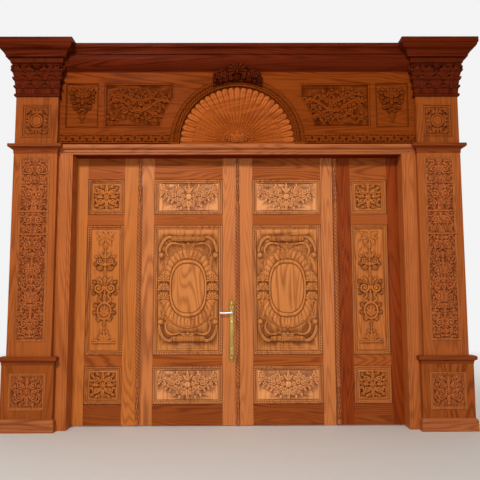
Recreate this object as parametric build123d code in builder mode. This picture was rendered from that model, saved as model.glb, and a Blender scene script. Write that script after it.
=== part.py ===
from build123d import *
from math import cos, degrees, pi, sin
import os

# A carved four-leaf timber entrance door with its frame, two pilasters and an entablature.
# Millimetres. +Z is up, the street side is -Y and the leaves open towards +Y.
# The origin is on the floor, in the middle of the whole part.

# Opening and leaves
opening_half = 1530.0
opening_height = 2500.0
stop_cover = 12.0
joint_gap = 4.0
meeting_gap = 3.0
stop_clearance = 1.0
floor_gap = 8.0
leaf_thickness = 44.0
column_line = 930.0
column_radius = 21.0
column_edge_margin = 1.5
meeting_stile_line = 141.0
main_hinge_stile = 111.5
side_joint_stile = 166.5
side_hinge_stile = 118.0
mid_rail_height = 100.0
bottom_rail_height = 187.0
top_rail_height = 215.0
low_panel_height = 346.0
top_panel_height = 341.0

# Joinery of the leaves
groove_depth = 10.0
board_thickness = 16.0
board_setback = 16.0
field_margin = 42.0
field_bevel = 5.0
bead_width = 34.0
bead_height = 18.0
bead_chamfer = 8.0

# Frame and wall side
jamb_width = 70.0
fixing_hole_radius = 5.0
fixing_low = 350.0
fixing_spacing = 1800.0
head_height = 74.0
wall_setback = 134.0
casing_thickness = 30.0
casing_width = 110.0
casing_groove = 6.0
corner_bead_width = 22.0
corner_bead_projection = 22.0

# Pilasters, measured from the wall face outwards
shaft_half = 200.0
shaft_projection = 73.0
die_half = 232.0
die_projection = 91.0
plinth_half = 250.0
plinth_projection = 116.0
plinth_height = 66.0
base_moulding_height = 49.0
pedestal_top = 582.0
pedestal_cap_height = 71.0
cap_overhang = 26.0
ledge_height = 83.0
ledge_overhang = 46.0
block_half = 196.0
block_height = 452.0
astragal_height = 27.0
astragal_overhang = 17.0
capital_height = 333.0
capital_flare = 44.0
abacus_height = 45.0
abacus_overhang = 52.0
top_cornice_height = 155.0
top_cornice_overhang = 152.0
cornice_foot = 79.0
recess_depth = 14.0
recess_frame = 14.0
carved_board_thickness = 10.0
shaft_panel_half = 140.0
shaft_panel_low = 130.0
shaft_panel_high = 38.0
block_panel_low = 66.0
block_panel_high = 72.0
pedestal_panel_half = 163.0
pedestal_panel_low = 72.0
pedestal_panel_high = 72.0

# Entablature
lintel_height = 85.0
lintel_projection = 66.0
band_gap = 15.0
band_height = 90.0
band_projection = 46.0
frieze_height = 600.0
frieze_thickness = 26.0
frieze_panel_sink = 12.0
frieze_top_rail = 104.0
frieze_bottom_rail = 66.0
frieze_stile = 54.0
small_panel_width = 309.0
frieze_mullion = 52.0
sweep_margin = 103.0
large_panel_inset = 38.0
panel_bead = 8.0
arch_radius = 540.0
arch_band_width = 90.0
arch_projection = 44.0
arch_base_above_lintel = 25.0
fan_rays = 27
fan_ray_height = 14.0
fan_setback = 20.0
arch_leaves = 20
arch_leaf = 36.0
crown_width = 464.0
crown_height = 205.0
crown_overlap = 10.0
crown_projection = 70.0
centre_cornice_height = 245.0
centre_cornice_overhang = 128.0

# Relief of the carving
relief_low = 6.0
relief_high = 7.0
lobe_notch = 0.66
shaft_clusters = 5
cloud_margin = 55.0
cloud_curl = 130.0
oval_half_width = 165.0
oval_half_height = 248.0
oval_ring = 24.0
oval_band = 44.0
boss_rise = 12.0
strap_width = 40.0
strap_side_margin = 38.0
strap_end_margin = 107.5
rope_pitch = 36.0
rope_depth = 5.0
rope_rise = 10.0
column_carving_height = 470.0
column_cap_height = 46.0
column_base_height = 375.0

# Ironmongery
hinge_height = 110.0
hinge_plate_inset = 6.0
knuckle_radius = 6.5
pin_radius = 3.5
pin_clearance = 0.05
pin_end_clearance = 1.0
hinge_play = 0.4
small_round_sides = 8
boss_sides = 16
hinges_in_line = 3
pin_length = 77.0
lock_height = 1028.0
plate_width = 58.0
plate_length = 540.0
plate_thickness = 7.0
plate_edge_margin = 3.0
lever_drop = 169.0
lever_length = 112.0
lever_section = 15.0
lever_standoff = 46.0
lever_boss_radius = 11.0
lever_clearance = 0.4
spindle_side = 8.0
case_depth = 62.0
case_height = 220.0
case_width = 18.0
face_plate_thickness = 3.0
latch_height = 20.0
latch_throw = 2.4
tongue_width = 12.0
bolt_throw = 14.0
bolt_travel = 22.0
deadbolt_height = 36.0
deadbolt_drop = 78.0
turn_radius = 12.0
turn_length = 30.0
strike_height = 190.0
strike_thickness = 2.0
flush_bolt_side = 12.0
flush_bolt_length = 180.0
flush_bolt_clearance = 0.4
flush_knob = 9.0
flush_bolt_setback = 40.0

# Depths: the leaf's street face is face_y and everything is measured from it
front_reach = wall_setback + shaft_projection + top_cornice_overhang
back_reach = leaf_thickness + plate_thickness + lever_standoff
face_y = (front_reach - back_reach) / 2
wall_y = face_y - wall_setback
inner_y = face_y + leaf_thickness
pivot_y = inner_y + knuckle_radius + hinge_play

# Heights
leaf_bottom = floor_gap
leaf_top = opening_height + stop_cover
low_panel_z = leaf_bottom + bottom_rail_height
tall_panel_z = low_panel_z + low_panel_height + mid_rail_height
top_panel_z = leaf_top - top_rail_height - top_panel_height
panel_levels = (
    (low_panel_z, low_panel_z + low_panel_height),
    (tall_panel_z, top_panel_z - mid_rail_height),
    (top_panel_z, top_panel_z + top_panel_height),
)
lintel_top = opening_height + lintel_height
band_low = lintel_top + band_gap
frieze_low = band_low + band_height
frieze_top = frieze_low + frieze_height
shaft_low = pedestal_top + pedestal_cap_height
shaft_top = opening_height
block_low = shaft_top + ledge_height
block_top = block_low + block_height
capital_low = block_top + astragal_height
capital_top = capital_low + capital_height
pilaster_top = capital_top + top_cornice_height
arch_z = lintel_top + arch_base_above_lintel

# Widths, from the middle outwards
pilaster_centre = opening_half + casing_width + corner_bead_width + shaft_half
arch_outer = arch_radius + arch_band_width
small_panel_outer = pilaster_centre - block_half - frieze_stile
small_panel_inner = small_panel_outer - small_panel_width
large_panel_outer = small_panel_inner - frieze_mullion
large_panel_inner = arch_outer - large_panel_inset

# Leaf edges along X, on the left side: hinge edge, meeting edge
side_joint = column_line - column_radius - column_edge_margin - joint_gap / 2
hinge_edge = opening_half + stop_cover
side_free_edge = side_joint + joint_gap / 2
main_hinge_edge = side_joint - joint_gap / 2
meeting_line = -column_radius - column_edge_margin - meeting_gap / 2
left_meeting_edge = meeting_line - meeting_gap / 2
right_meeting_edge = meeting_line + meeting_gap / 2
jamb_pivot = hinge_edge + joint_gap / 2
main_panel_inner = meeting_stile_line
main_panel_outer = main_hinge_edge - main_hinge_stile
side_panel_inner = side_free_edge + side_joint_stile
side_panel_outer = hinge_edge - side_hinge_stile
strap_half_width = (main_panel_outer - main_panel_inner) / 2 - strap_side_margin
strap_half_height = (panel_levels[1][1] - panel_levels[1][0]) / 2 - strap_end_margin

os.makedirs("parts", exist_ok=True)


def save(piece, label):
    piece.part.label = label
    export_step(piece.part, "parts/" + label + ".step")


def draw_run(points):
    for (a, b, sagitta), (c, d, _) in zip(points, points[1:]):
        if sagitta:
            SagittaArc((a, b), (c, d), sagitta)
        else:
            Line((a, b), (c, d))


def oval(half_width, half_height, sides=16):
    steps = [2 * pi * step / sides for step in range(sides)]
    return [(half_width * cos(turn), half_height * sin(turn)) for turn in steps]


def lobed(places, width, height, lobes):
    """Leafy figures of one size: pointed lobes round an oval."""
    turns = [pi / 2 + pi * step / lobes for step in range(2 * lobes)]
    reach = [1, lobe_notch] * lobes
    with Locations(*places):
        Polygon(*[(width / 2 * share * cos(turn), height / 2 * share * sin(turn))
                  for turn, share in zip(turns, reach)], align=None)


def arc_strip(inner, outer, start, end, steps):
    turns = [(start + (end - start) * step / steps) * pi / 180 for step in range(steps + 1)]
    rim = [(outer * cos(turn), outer * sin(turn)) for turn in turns]
    hollow = [(inner * cos(turn), inner * sin(turn)) for turn in reversed(turns)]
    Polygon(*rim, *hollow, align=None)


def figure_spray(x, z, width, height):
    """Wide acanthus spray with a finial above and a drop below."""
    lobed([(x, z)], 0.86 * width, 0.5 * height, 7)
    lobed([(x, z)], 0.32 * width, 0.74 * height, 4)


def figure_square(x, z, width, height):
    lobed([(x, z)], 0.62 * width, 0.64 * height, 8)


def figure_chain(x, z, width, height):
    """Hanging ribbon: three clusters on a stem, a bow above and a plant below."""
    step = 0.13 * height
    with Locations((x, z)):
        Rectangle(0.08 * width, 0.7 * height)
    lobed([(x, z + link * step) for link in (-1, 0, 1)], 0.5 * width, step, 4)
    lobed([(x, z - 0.38 * height), (x, z + 0.36 * height)], 0.42 * width, step, 5)


def figure_shaft(x, z, width, height):
    step = 0.92 * height / shaft_clusters
    with Locations((x, z)):
        Rectangle(0.1 * width, 0.9 * height)
    low = z - 0.46 * height
    lobed([(x, low + (link + 0.5) * step) for link in range(shaft_clusters)], 0.74 * width, step, 5)


def cloud_band(side, z):
    """Scrolling cloud figure of a large frieze panel, one side of the fan."""
    near, far = large_panel_inner + cloud_margin, large_panel_outer - cloud_margin
    curls = [(side * (near + share * (far - near)), z + rise)
             for share, rise in ((0.08, 70), (0.3, -10), (0.52, 60), (0.72, -40), (0.92, 50))]
    lobed(curls, cloud_curl, cloud_curl, 5)
    with Locations((side * (near + far) / 2, z)):
        Rectangle(0.8 * (far - near), 0.25 * cloud_curl)


def figure_cartouche(x, z, width, height):
    """Oval frame with strap scrolls; the raised oval itself is added above it."""
    band = oval(oval_half_width + oval_band, oval_half_height + oval_band + oval_ring)
    with Locations((x, z)):
        Polygon(*band, align=None)
    lobed([(x - strap_half_width + 46, z), (x + strap_half_width - 46, z)], 92, 230, 4)
    corner = strap_half_width - 96
    corner_places = [(x + side * (strap_half_width - corner), z + up * (strap_half_height - corner), start)
                     for side, up, start in ((1, 1, 0), (-1, 1, 90), (-1, -1, 180), (1, -1, 270))]
    with Locations(*[Location((a, b, 0), (0, 0, start)) for a, b, start in corner_places]):
        arc_strip(corner - strap_width, corner, 0, 90, 4)
    with Locations((x, z + strap_half_height - strap_width / 2), (x, z - strap_half_height + strap_width / 2)):
        Rectangle(2 * oval_half_width, strap_width + 14)
    lobed([(x, z + strap_half_height - 110), (x, z - strap_half_height + 110)], 150, 110, 5)


# Carved boards and their rope beads, made once for a narrow and once for a wide leaf
board_y = face_y + board_setback
board_front = Plane(origin=(0, board_y, 0), x_dir=(1, 0, 0), z_dir=(0, -1, 0))
boards, beads = {}, {}
for kind, span, figures in (
    ("side", side_panel_outer - side_panel_inner, (figure_square, figure_chain, figure_square)),
    ("main", main_panel_outer - main_panel_inner, (figure_spray, figure_cartouche, figure_spray)),
):
    with BuildPart() as boards[kind]:
        for (low, high), figure in zip(panel_levels, figures):
            with Locations((0, board_y + board_thickness / 2, (low + high) / 2)):
                Box(span + 2 * groove_depth, board_thickness, high - low + 2 * groove_depth)
            with BuildSketch(board_front):
                with Locations((0, (low + high) / 2)):
                    Rectangle(span - 2 * field_margin, high - low - 2 * field_margin)
            extrude(amount=field_bevel, taper=45)
            with BuildSketch(board_front.offset(field_bevel)):
                figure(0, (low + high) / 2, span, high - low)
            extrude(amount=relief_low)
        if kind == "main":
            layer = board_front.offset(field_bevel + relief_low)
            with BuildSketch(layer):
                with Locations((0, sum(panel_levels[1]) / 2)):
                    Polygon(*oval(oval_half_width + oval_ring, oval_half_height + oval_ring), align=None)
            extrude(amount=relief_high)
            for lift, inset in ((relief_high, 0), (relief_high + boss_rise, 3 * boss_rise)):
                with BuildSketch(layer.offset(lift)):
                    with Locations((0, sum(panel_levels[1]) / 2)):
                        Polygon(*oval(oval_half_width - inset, oval_half_height - inset), align=None)
            loft(ruled=True)
    with BuildPart() as beads[kind]:
        with BuildSketch(board_front):
            for low, high in panel_levels:
                with Locations((0, (low + high) / 2)):
                    Rectangle(span, high - low)
                    Rectangle(span - 2 * bead_width, high - low - 2 * bead_width, mode=Mode.SUBTRACT)
        extrude(amount=bead_height)
        chamfer(beads[kind].faces().filter_by(Axis.Y).group_by(Axis.Y)[0].edges(), bead_chamfer)

# Stiles and rails of each leaf, grooved for the boards
leaf_jobs = (
    ("side_left", "side", -hinge_edge, -side_free_edge, -side_panel_outer, -side_panel_inner),
    ("side_right", "side", hinge_edge, side_free_edge, side_panel_outer, side_panel_inner),
    ("main_left", "main", -main_hinge_edge, left_meeting_edge, -main_panel_outer, -main_panel_inner),
    ("main_right", "main", main_hinge_edge, right_meeting_edge, main_panel_outer, main_panel_inner),
)
rail_levels = [leaf_bottom] + [level for pair in panel_levels for level in pair] + [leaf_top]
groove_y = board_y + board_thickness / 2
leaf_middle_y = face_y + leaf_thickness / 2
stiles = {}
for name, kind, hinge_x, free_x, hinge_inner, free_inner in leaf_jobs:
    middle = (hinge_inner + free_inner) / 2
    span = abs(free_inner - hinge_inner)
    with BuildPart() as stiles[name]:
        with BuildSketch(Plane.XY.offset(leaf_bottom)):
            for edge, inner in ((hinge_x, hinge_inner), (free_x, free_inner)):
                with Locations(((edge + inner) / 2, leaf_middle_y)):
                    Rectangle(abs(inner - edge), leaf_thickness)
            with Locations((middle, groove_y)):
                Rectangle(span + 2 * groove_depth, board_thickness, mode=Mode.SUBTRACT)
        extrude(amount=leaf_top - leaf_bottom)
    with BuildPart() as rails:
        for low, high in zip(rail_levels[::2], rail_levels[1::2]):
            with Locations((middle, leaf_middle_y, (low + high) / 2)):
                Box(span, leaf_thickness, high - low)
            with Locations((middle, groove_y, (low + high) / 2)):
                Box(span + 2 * groove_depth, board_thickness, high - low)
        for low, high in panel_levels:
            with Locations((middle, groove_y, (low + high) / 2)):
                Box(span + 2 * groove_depth, board_thickness, high - low + 2 * groove_depth, mode=Mode.SUBTRACT)
    save(rails, name + "_rails")
    with BuildPart() as leaf_boards:
        with Locations((middle, 0, 0)):
            add(boards[kind].part)
    save(leaf_boards, name + "_panels")
    with BuildPart() as leaf_beads:
        with Locations((middle, 0, 0)):
            add(beads[kind].part)
    save(leaf_beads, name + "_beads")


# Rope-carved half columns, one beside each joint of the leaves, flat on the stile behind
column_foot = leaf_bottom + floor_gap
rope_low = column_foot + column_base_height + column_cap_height
head_top = leaf_top - stop_cover - floor_gap
head_low = head_top - column_carving_height
column_front = Plane(origin=(0, face_y, 0), x_dir=(1, 0, 0), z_dir=(0, -1, 0))
slim = 0.72 * column_radius
with BuildPart() as column:
    turned_parts = (
        ((column_foot, column_radius), (column_foot + column_base_height * 0.12, column_radius),
         (column_foot + column_base_height * 0.16, slim), (column_foot + column_base_height, slim),
         (rope_low - column_cap_height, column_radius), (rope_low, column_radius)),
        ((head_low, column_radius), (head_low + 0.1 * column_carving_height, slim),
         (head_low + 0.55 * column_carving_height, column_radius),
         (head_low + 0.8 * column_carving_height, slim), (head_top, column_radius)),
    )
    with BuildSketch(column_front):
        for stations in turned_parts:
            right = [(radius, z) for z, radius in stations]
            left = [(-radius, z) for z, radius in reversed(stations)]
            Polygon(*right, *left, align=None)
    extrude(amount=slim)
    with BuildSketch(Plane.XY.offset(rope_low)):
        Polygon((-column_radius, face_y), (column_radius, face_y), (column_radius, face_y - slim / 2),
                (slim, face_y - column_radius), (-slim, face_y - column_radius),
                (-column_radius, face_y - slim / 2), align=None)
    extrude(amount=head_low - rope_low)
    turns = int((head_low - rope_low) / rope_pitch)
    step = (head_low - rope_low) / turns
    with BuildSketch(Plane.YZ.offset(-2 * column_radius)) as groove:
        Polygon((face_y - column_radius - 1, -rope_depth), (face_y - column_radius + rope_depth, 0),
                (face_y - column_radius - 1, rope_depth), align=None)
    slant = Vector(4 * column_radius, 0, 4 * rope_rise)
    cutter = extrude(groove.sketch, amount=slant.length, dir=slant, mode=Mode.PRIVATE)
    lowest = rope_low - 2 * rope_rise
    with Locations(*[(0, 0, lowest + (turn + 0.5) * step) for turn in range(turns)]):
        add(cutter, mode=Mode.SUBTRACT)
for name, middle in (("side_left", -column_line), ("side_right", column_line), ("main_right", 0)):
    with BuildPart() as placed_column:
        with Locations((middle, 0, 0)):
            add(column.part)
    save(placed_column, name + "_column")


# Frame: two rebated jambs and the head between them
jamb_outer = opening_half + jamb_width
rebate_x = hinge_edge + joint_gap
rebate_y = face_y - stop_clearance
head_rebate_z = leaf_top + joint_gap
frame_top = opening_height + head_height
fixing_levels = (fixing_low, fixing_low + fixing_spacing)
for side, name in ((-1, "jamb_left"), (1, "jamb_right")):
    with BuildPart() as jamb:
        with BuildSketch(Plane.XY):
            Polygon(
                (side * opening_half, wall_y), (side * jamb_outer, wall_y), (side * jamb_outer, inner_y),
                (side * rebate_x, inner_y), (side * rebate_x, rebate_y), (side * opening_half, rebate_y),
                align=None,
            )
        extrude(amount=frame_top)
        middle_of_jamb = (side * (opening_half + jamb_width / 2), (wall_y + rebate_y) / 2)
        with Locations(*[(*middle_of_jamb, level) for level in fixing_levels]):
            Cylinder(fixing_hole_radius, jamb_width, rotation=(0, 90, 0), mode=Mode.SUBTRACT)
    save(jamb, name)

with BuildPart() as head:
    with BuildSketch(Plane.YZ.offset(-opening_half)):
        Polygon(
            (wall_y, opening_height), (wall_y, frame_top), (inner_y, frame_top),
            (inner_y, head_rebate_z), (rebate_y, head_rebate_z), (rebate_y, opening_height), align=None,
        )
    extrude(amount=2 * opening_half)
shaft_inner = pilaster_centre - shaft_half


# Pilasters: every moulded block runs along its front and both returns
def moulded_block(profile, half, projection):
    """Solid against the wall; profile lists (overhang, height, bulge of the run above it)."""
    front = wall_y - projection
    low, high = profile[0], profile[-1]
    reach = 2 * (half + projection + 200)
    with BuildPart() as block:
        with BuildSketch(Plane.YZ):
            with BuildLine():
                draw_run([(front - overhang, z, -bulge) for overhang, z, bulge in profile])
                Polyline((front - high[0], high[1]), (wall_y, high[1]), (wall_y, low[1]), (front - low[0], low[1]))
            make_face()
        extrude(amount=reach, both=True)
        with BuildSketch(Plane.XZ):
            with BuildLine():
                draw_run([(half + overhang, z, bulge) for overhang, z, bulge in profile])
                Polyline((half + high[0], high[1]), (0, high[1]), (0, low[1]), (half + low[0], low[1]))
            make_face()
            mirror(about=Plane.YZ)
        extrude(amount=reach, both=True, mode=Mode.INTERSECT)
    return block.part


pilaster_spots = ((pilaster_centre, 0, 0), (-pilaster_centre, 0, 0))
base_top = plinth_height + base_moulding_height
base_step = plinth_half - die_half
moulding_rows = (
    ("plinths", die_half, plinth_projection - base_step, (
        (base_step, 0, 0), (base_step, plinth_height, 0), (base_step - 4, plinth_height + 4, -8),
        (0, base_top - 4, 0), (0, base_top, 0))),
    ("pedestal_caps", die_half, die_projection, (
        (0, pedestal_top, 0), (4, pedestal_top + 6, 7), (cap_overhang - 6, pedestal_top + 34, 0),
        (cap_overhang, pedestal_top + 38, 0), (cap_overhang, shaft_low - 8, 0), (cap_overhang - 8, shaft_low, 0))),
    ("ledges", shaft_half, shaft_projection, (
        (4, shaft_top, 0), (4, shaft_top + 12, 9), (ledge_overhang - 12, shaft_top + 52, 0),
        (ledge_overhang, shaft_top + 56, 0), (ledge_overhang, block_low, 0))),
    ("pilaster_cornices", shaft_half, shaft_projection, (
        (cornice_foot, capital_top, 0), (cornice_foot, capital_top + 16, 0),
        (cornice_foot + 8, capital_top + 22, 8), (cornice_foot + 36, capital_top + 62, -8),
        (top_cornice_overhang - 8, capital_top + 104, 0), (top_cornice_overhang, capital_top + 108, 0),
        (top_cornice_overhang, pilaster_top, 0))),
)
mouldings = {}
for label, half, projection, profile in moulding_rows:
    mouldings[label] = moulded_block(profile, half, projection)
    with BuildPart() as pair:
        with Locations(*pilaster_spots):
            add(mouldings[label])
    save(pair, label)

# Plain boxes of the pilasters, each with the recess that takes its carved panel
pilaster_boxes = (
    ("pedestals", die_half, die_projection, base_top, pedestal_top,
     pedestal_panel_half, pedestal_panel_low, pedestal_panel_high),
    ("shafts", shaft_half, shaft_projection, shaft_low, shaft_top,
     shaft_panel_half, shaft_panel_low, shaft_panel_high),
    ("upper_blocks", block_half, shaft_projection, block_low, block_top,
     shaft_panel_half, block_panel_low, block_panel_high),
)
boxes = {}
for label, half, projection, low, high, panel_half, margin_low, margin_high in pilaster_boxes:
    with BuildPart() as boxes[label]:
        with Locations((0, wall_y - projection / 2, (low + high) / 2)):
            Box(2 * half, projection, high - low)
        with BuildSketch(Plane(origin=(0, wall_y - projection, 0), x_dir=(1, 0, 0), z_dir=(0, -1, 0))):
            with Locations((0, (low + margin_low + high - margin_high) / 2)):
                Rectangle(2 * panel_half, high - low - margin_low - margin_high)
        extrude(amount=-recess_depth, mode=Mode.SUBTRACT)
    with BuildPart() as pair:
        with Locations(*pilaster_spots):
            add(boxes[label].part)
    save(pair, label)
pedestal_pieces = (boxes["pedestals"].part, mouldings["plinths"], mouldings["pedestal_caps"])


panel_figures = {"pedestals": figure_square, "shafts": figure_shaft, "upper_blocks": figure_square}
with BuildPart() as carved_column:
    for label, half, projection, low, high, panel_half, margin_low, margin_high in pilaster_boxes:
        bottom, top = low + margin_low, high - margin_high
        height = top - bottom
        back = wall_y - projection + recess_depth
        seat = Plane(origin=(0, back, (bottom + top) / 2), x_dir=(1, 0, 0), z_dir=(0, -1, 0))
        with BuildSketch(seat):
            Rectangle(2 * panel_half, height)
        extrude(amount=carved_board_thickness)
        with BuildSketch(seat.offset(carved_board_thickness)):
            Rectangle(2 * panel_half, height)
            Rectangle(2 * (panel_half - recess_frame), height - 2 * recess_frame, mode=Mode.SUBTRACT)
            panel_figures[label](0, 0, 2 * (panel_half - recess_frame), height - 2 * recess_frame)
        extrude(amount=relief_low)
with BuildPart() as pilaster_panels:
    with Locations(*pilaster_spots):
        add(carved_column.part)
save(pilaster_panels, "pilaster_panels")

# Casings beside the opening, with two grooves down each face and a corner bead at the pilaster
casing_y = wall_y - casing_thickness
with BuildPart() as casings:
    with BuildSketch(Plane.XY):
        with Locations((opening_half + casing_width / 2, (casing_y + wall_y) / 2)):
            Rectangle(casing_width, casing_thickness)
        for share in (0.12, 0.3):
            with Locations((opening_half + share * casing_width, casing_y)):
                Rectangle(casing_groove, 1.6 * casing_groove, mode=Mode.SUBTRACT)
        with Locations(((opening_half + casing_width + shaft_inner) / 2, wall_y - corner_bead_projection / 2)):
            Rectangle(shaft_inner - opening_half - casing_width, corner_bead_projection)
    extrude(amount=opening_height)
    with Locations((pilaster_centre, 0, 0)):
        for piece in pedestal_pieces:
            add(piece, mode=Mode.SUBTRACT)
    mirror(about=Plane.YZ)
save(casings, "casings")


# Capitals: astragal, flared bell with two tiers of leaves, corner volutes and abacus
bell_profile = (
    (astragal_overhang, block_top, 0), (astragal_overhang, capital_low, 0), (0, capital_low, 0),
    (2, capital_low + 60, -14), (capital_flare, capital_top - abacus_height, 0),
    (abacus_overhang, capital_top - abacus_height, 0), (abacus_overhang, capital_top, 0),
)
bell = moulded_block(bell_profile, block_half, shaft_projection)
bell_front = wall_y - shaft_projection
leaf_width = 2 * block_half / 4
tiers = ((capital_low, 4, 128), (capital_low + 104, 3, 124))
with BuildPart() as capital:
    add(bell)
    for foot, count, rise in tiers:
        tip = 0.12 * rise + (foot - capital_low) * 0.12
        with BuildSketch(Plane.YZ):
            with Locations((bell_front, foot)):
                Polygon((10, 0), (-6, 0), (-tip - 22, 0.92 * rise), (-tip - 16, rise), (14, 0.8 * rise), align=None)
        with GridLocations(2 * block_half / count, 1, count, 1):
            extrude(amount=0.4 * leaf_width, both=True)
    for side in (-1, 1):
        with BuildSketch(Plane(origin=(0, bell_front - capital_flare + 18, 0), x_dir=(1, 0, 0), z_dir=(0, -1, 0))):
            with Locations((side * (block_half - 2), capital_top - abacus_height - 40)):
                RegularPolygon(44, 8)
        extrude(amount=24)
with BuildPart() as capitals:
    with Locations(*pilaster_spots):
        add(capital.part)
save(capitals, "capitals")

# Entablature between the pilasters
inner_end = pilaster_centre - block_half
lintel_profile = (
    (casing_thickness, opening_height, 0), (casing_thickness, opening_height + 20, 0),
    (casing_thickness + 8, opening_height + 20, 0), (casing_thickness + 8, opening_height + 44, -6),
    (lintel_projection, opening_height + 60, 0), (lintel_projection, lintel_top, 0),
)
cornice_low = frieze_top
cornice_top = frieze_top + centre_cornice_height
cove_top = cornice_low + 150
cornice_profile = (
    (frieze_thickness, cornice_low, 0), (frieze_thickness + 4, cornice_low + 10, -26),
    (centre_cornice_overhang - 38, cove_top, 0), (centre_cornice_overhang - 28, cove_top, 0),
    (centre_cornice_overhang - 28, cove_top + 14, 7), (centre_cornice_overhang - 10, cornice_top - 40, 0),
    (centre_cornice_overhang, cornice_top - 36, 0), (centre_cornice_overhang, cornice_top, 0),
)
for label, profile, half, cutters in (
    ("lintel_moulding", lintel_profile, shaft_inner, (mouldings["ledges"],)),
    ("centre_cornice", cornice_profile, inner_end, (mouldings["pilaster_cornices"], bell)),
):
    low, high = profile[0], profile[-1]
    with BuildPart() as run:
        with BuildSketch(Plane.YZ):
            with BuildLine():
                draw_run([(wall_y - reach, z, -bulge) for reach, z, bulge in profile])
                Polyline((wall_y - high[0], high[1]), (wall_y, high[1]), (wall_y, low[1]), (wall_y - low[0], low[1]))
            make_face()
        extrude(amount=half, both=True)
        with Locations(*pilaster_spots):
            for cutter in cutters:
                add(cutter, mode=Mode.SUBTRACT)
    save(run, label)
    if label == "centre_cornice":
        centre_cornice = run.part

# Frieze: one framed board round the arch, with two small and two large carved panels
facade = Plane(origin=(0, wall_y, 0), x_dir=(1, 0, 0), z_dir=(0, -1, 0))
panel_low = frieze_low + frieze_bottom_rail
panel_high = frieze_top - frieze_top_rail
panel_middle = (panel_low + panel_high) / 2
small_middle = (small_panel_inner + small_panel_outer) / 2
large_middle = (large_panel_inner + large_panel_outer) / 2
sweep_radius = arch_outer + sweep_margin
with BuildSketch() as panel_fields:
    for side in (-1, 1):
        with Locations((side * small_middle, panel_middle)):
            Rectangle(small_panel_outer - small_panel_inner, panel_high - panel_low)
        with Locations((side * large_middle, panel_middle)):
            Rectangle(large_panel_outer - large_panel_inner, panel_high - panel_low)
    with Locations((0, arch_z)):
        Circle(sweep_radius, mode=Mode.SUBTRACT)

with BuildPart() as frieze:
    with BuildSketch(facade):
        with Locations((0, (frieze_low + frieze_top) / 2)):
            Rectangle(2 * inner_end, frieze_height)
        with Locations((0, arch_z)):
            Circle(arch_outer, mode=Mode.SUBTRACT)
        add(panel_fields.sketch, mode=Mode.SUBTRACT)
    extrude(amount=frieze_thickness)
    with Locations(*pilaster_spots):
        add(bell, mode=Mode.SUBTRACT)
save(frieze, "frieze")

with BuildPart() as frieze_panels:
    with BuildSketch(facade):
        add(panel_fields.sketch)
    extrude(amount=frieze_thickness - frieze_panel_sink)
    with BuildSketch(facade.offset(frieze_thickness - frieze_panel_sink)):
        small_width = small_panel_outer - small_panel_inner
        field_height = panel_high - panel_low
        for side in (-1, 1):
            middle = side * small_middle
            lobed([(middle, panel_middle + 0.16 * field_height)], 0.66 * small_width, 0.44 * field_height, 6)
            lobed([(middle, panel_middle - 0.14 * field_height)], 0.36 * small_width, 0.5 * field_height, 4)
            cloud_band(side, panel_middle)
        add(panel_fields.sketch, mode=Mode.INTERSECT)
    extrude(amount=relief_high)
save(frieze_panels, "frieze_panels")

# Carved bands and bead rows under the frieze, cut off by the arch
band_profile = (
    (frieze_thickness, band_low, 0), (frieze_thickness + 6, band_low + 6, 10),
    (band_projection, frieze_low - 18, 0), (frieze_thickness, frieze_low, 0),
)
with BuildPart() as carved_bands:
    with BuildSketch(Plane.YZ):
        with BuildLine():
            draw_run([(wall_y - reach, z, -bulge) for reach, z, bulge in band_profile])
            Polyline((wall_y - frieze_thickness, frieze_low), (wall_y, frieze_low),
                     (wall_y, band_low), (wall_y - frieze_thickness, band_low))
        make_face()
    extrude(amount=inner_end, both=True)
    with BuildSketch(facade):
        with Locations((0, arch_z)):
            Circle(arch_outer)
        with Locations((0, (lintel_top + arch_z) / 2)):
            Rectangle(2 * arch_outer, arch_z - lintel_top)
    extrude(amount=2 * band_projection, mode=Mode.SUBTRACT)
save(carved_bands, "carved_bands")

with BuildPart() as bead_rows:
    for side in (-1, 1):
        with Locations((side * (inner_end + arch_outer) / 2, wall_y - lintel_projection / 4, lintel_top + band_gap / 2)):
            Box(inner_end - arch_outer, lintel_projection / 2, band_gap)
save(bead_rows, "bead_rows")

# Arch band with its wound leaves, on two short feet
with BuildPart() as arch_band:
    with BuildSketch(facade):
        with Locations((0, arch_z)):
            Circle(arch_outer)
            Circle(arch_radius, mode=Mode.SUBTRACT)
        with Locations((0, arch_z - arch_outer / 2)):
            Rectangle(2 * arch_outer + 10, arch_outer, mode=Mode.SUBTRACT)
        for side in (-1, 1):
            with Locations((side * (arch_radius + arch_outer) / 2, (lintel_top + arch_z) / 2)):
                Rectangle(arch_band_width, arch_z - lintel_top)
    extrude(amount=arch_projection)
    middle_radius = (arch_radius + arch_outer) / 2
    leaf_turns = [(leaf + 0.5) * 180 / arch_leaves for leaf in range(arch_leaves)]
    with BuildSketch(facade.offset(arch_projection)):
        with Locations(*[
            Location((middle_radius * cos(turn * pi / 180), arch_z + middle_radius * sin(turn * pi / 180), 0),
                     (0, 0, turn))
            for turn in leaf_turns
        ]):
            Polygon((-arch_leaf, -0.3 * arch_leaf), (0, -0.6 * arch_leaf), (arch_leaf, 0.3 * arch_leaf),
                    (0, 0.6 * arch_leaf), align=None)
    extrude(amount=relief_low)
save(arch_band, "arch_band")

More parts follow.
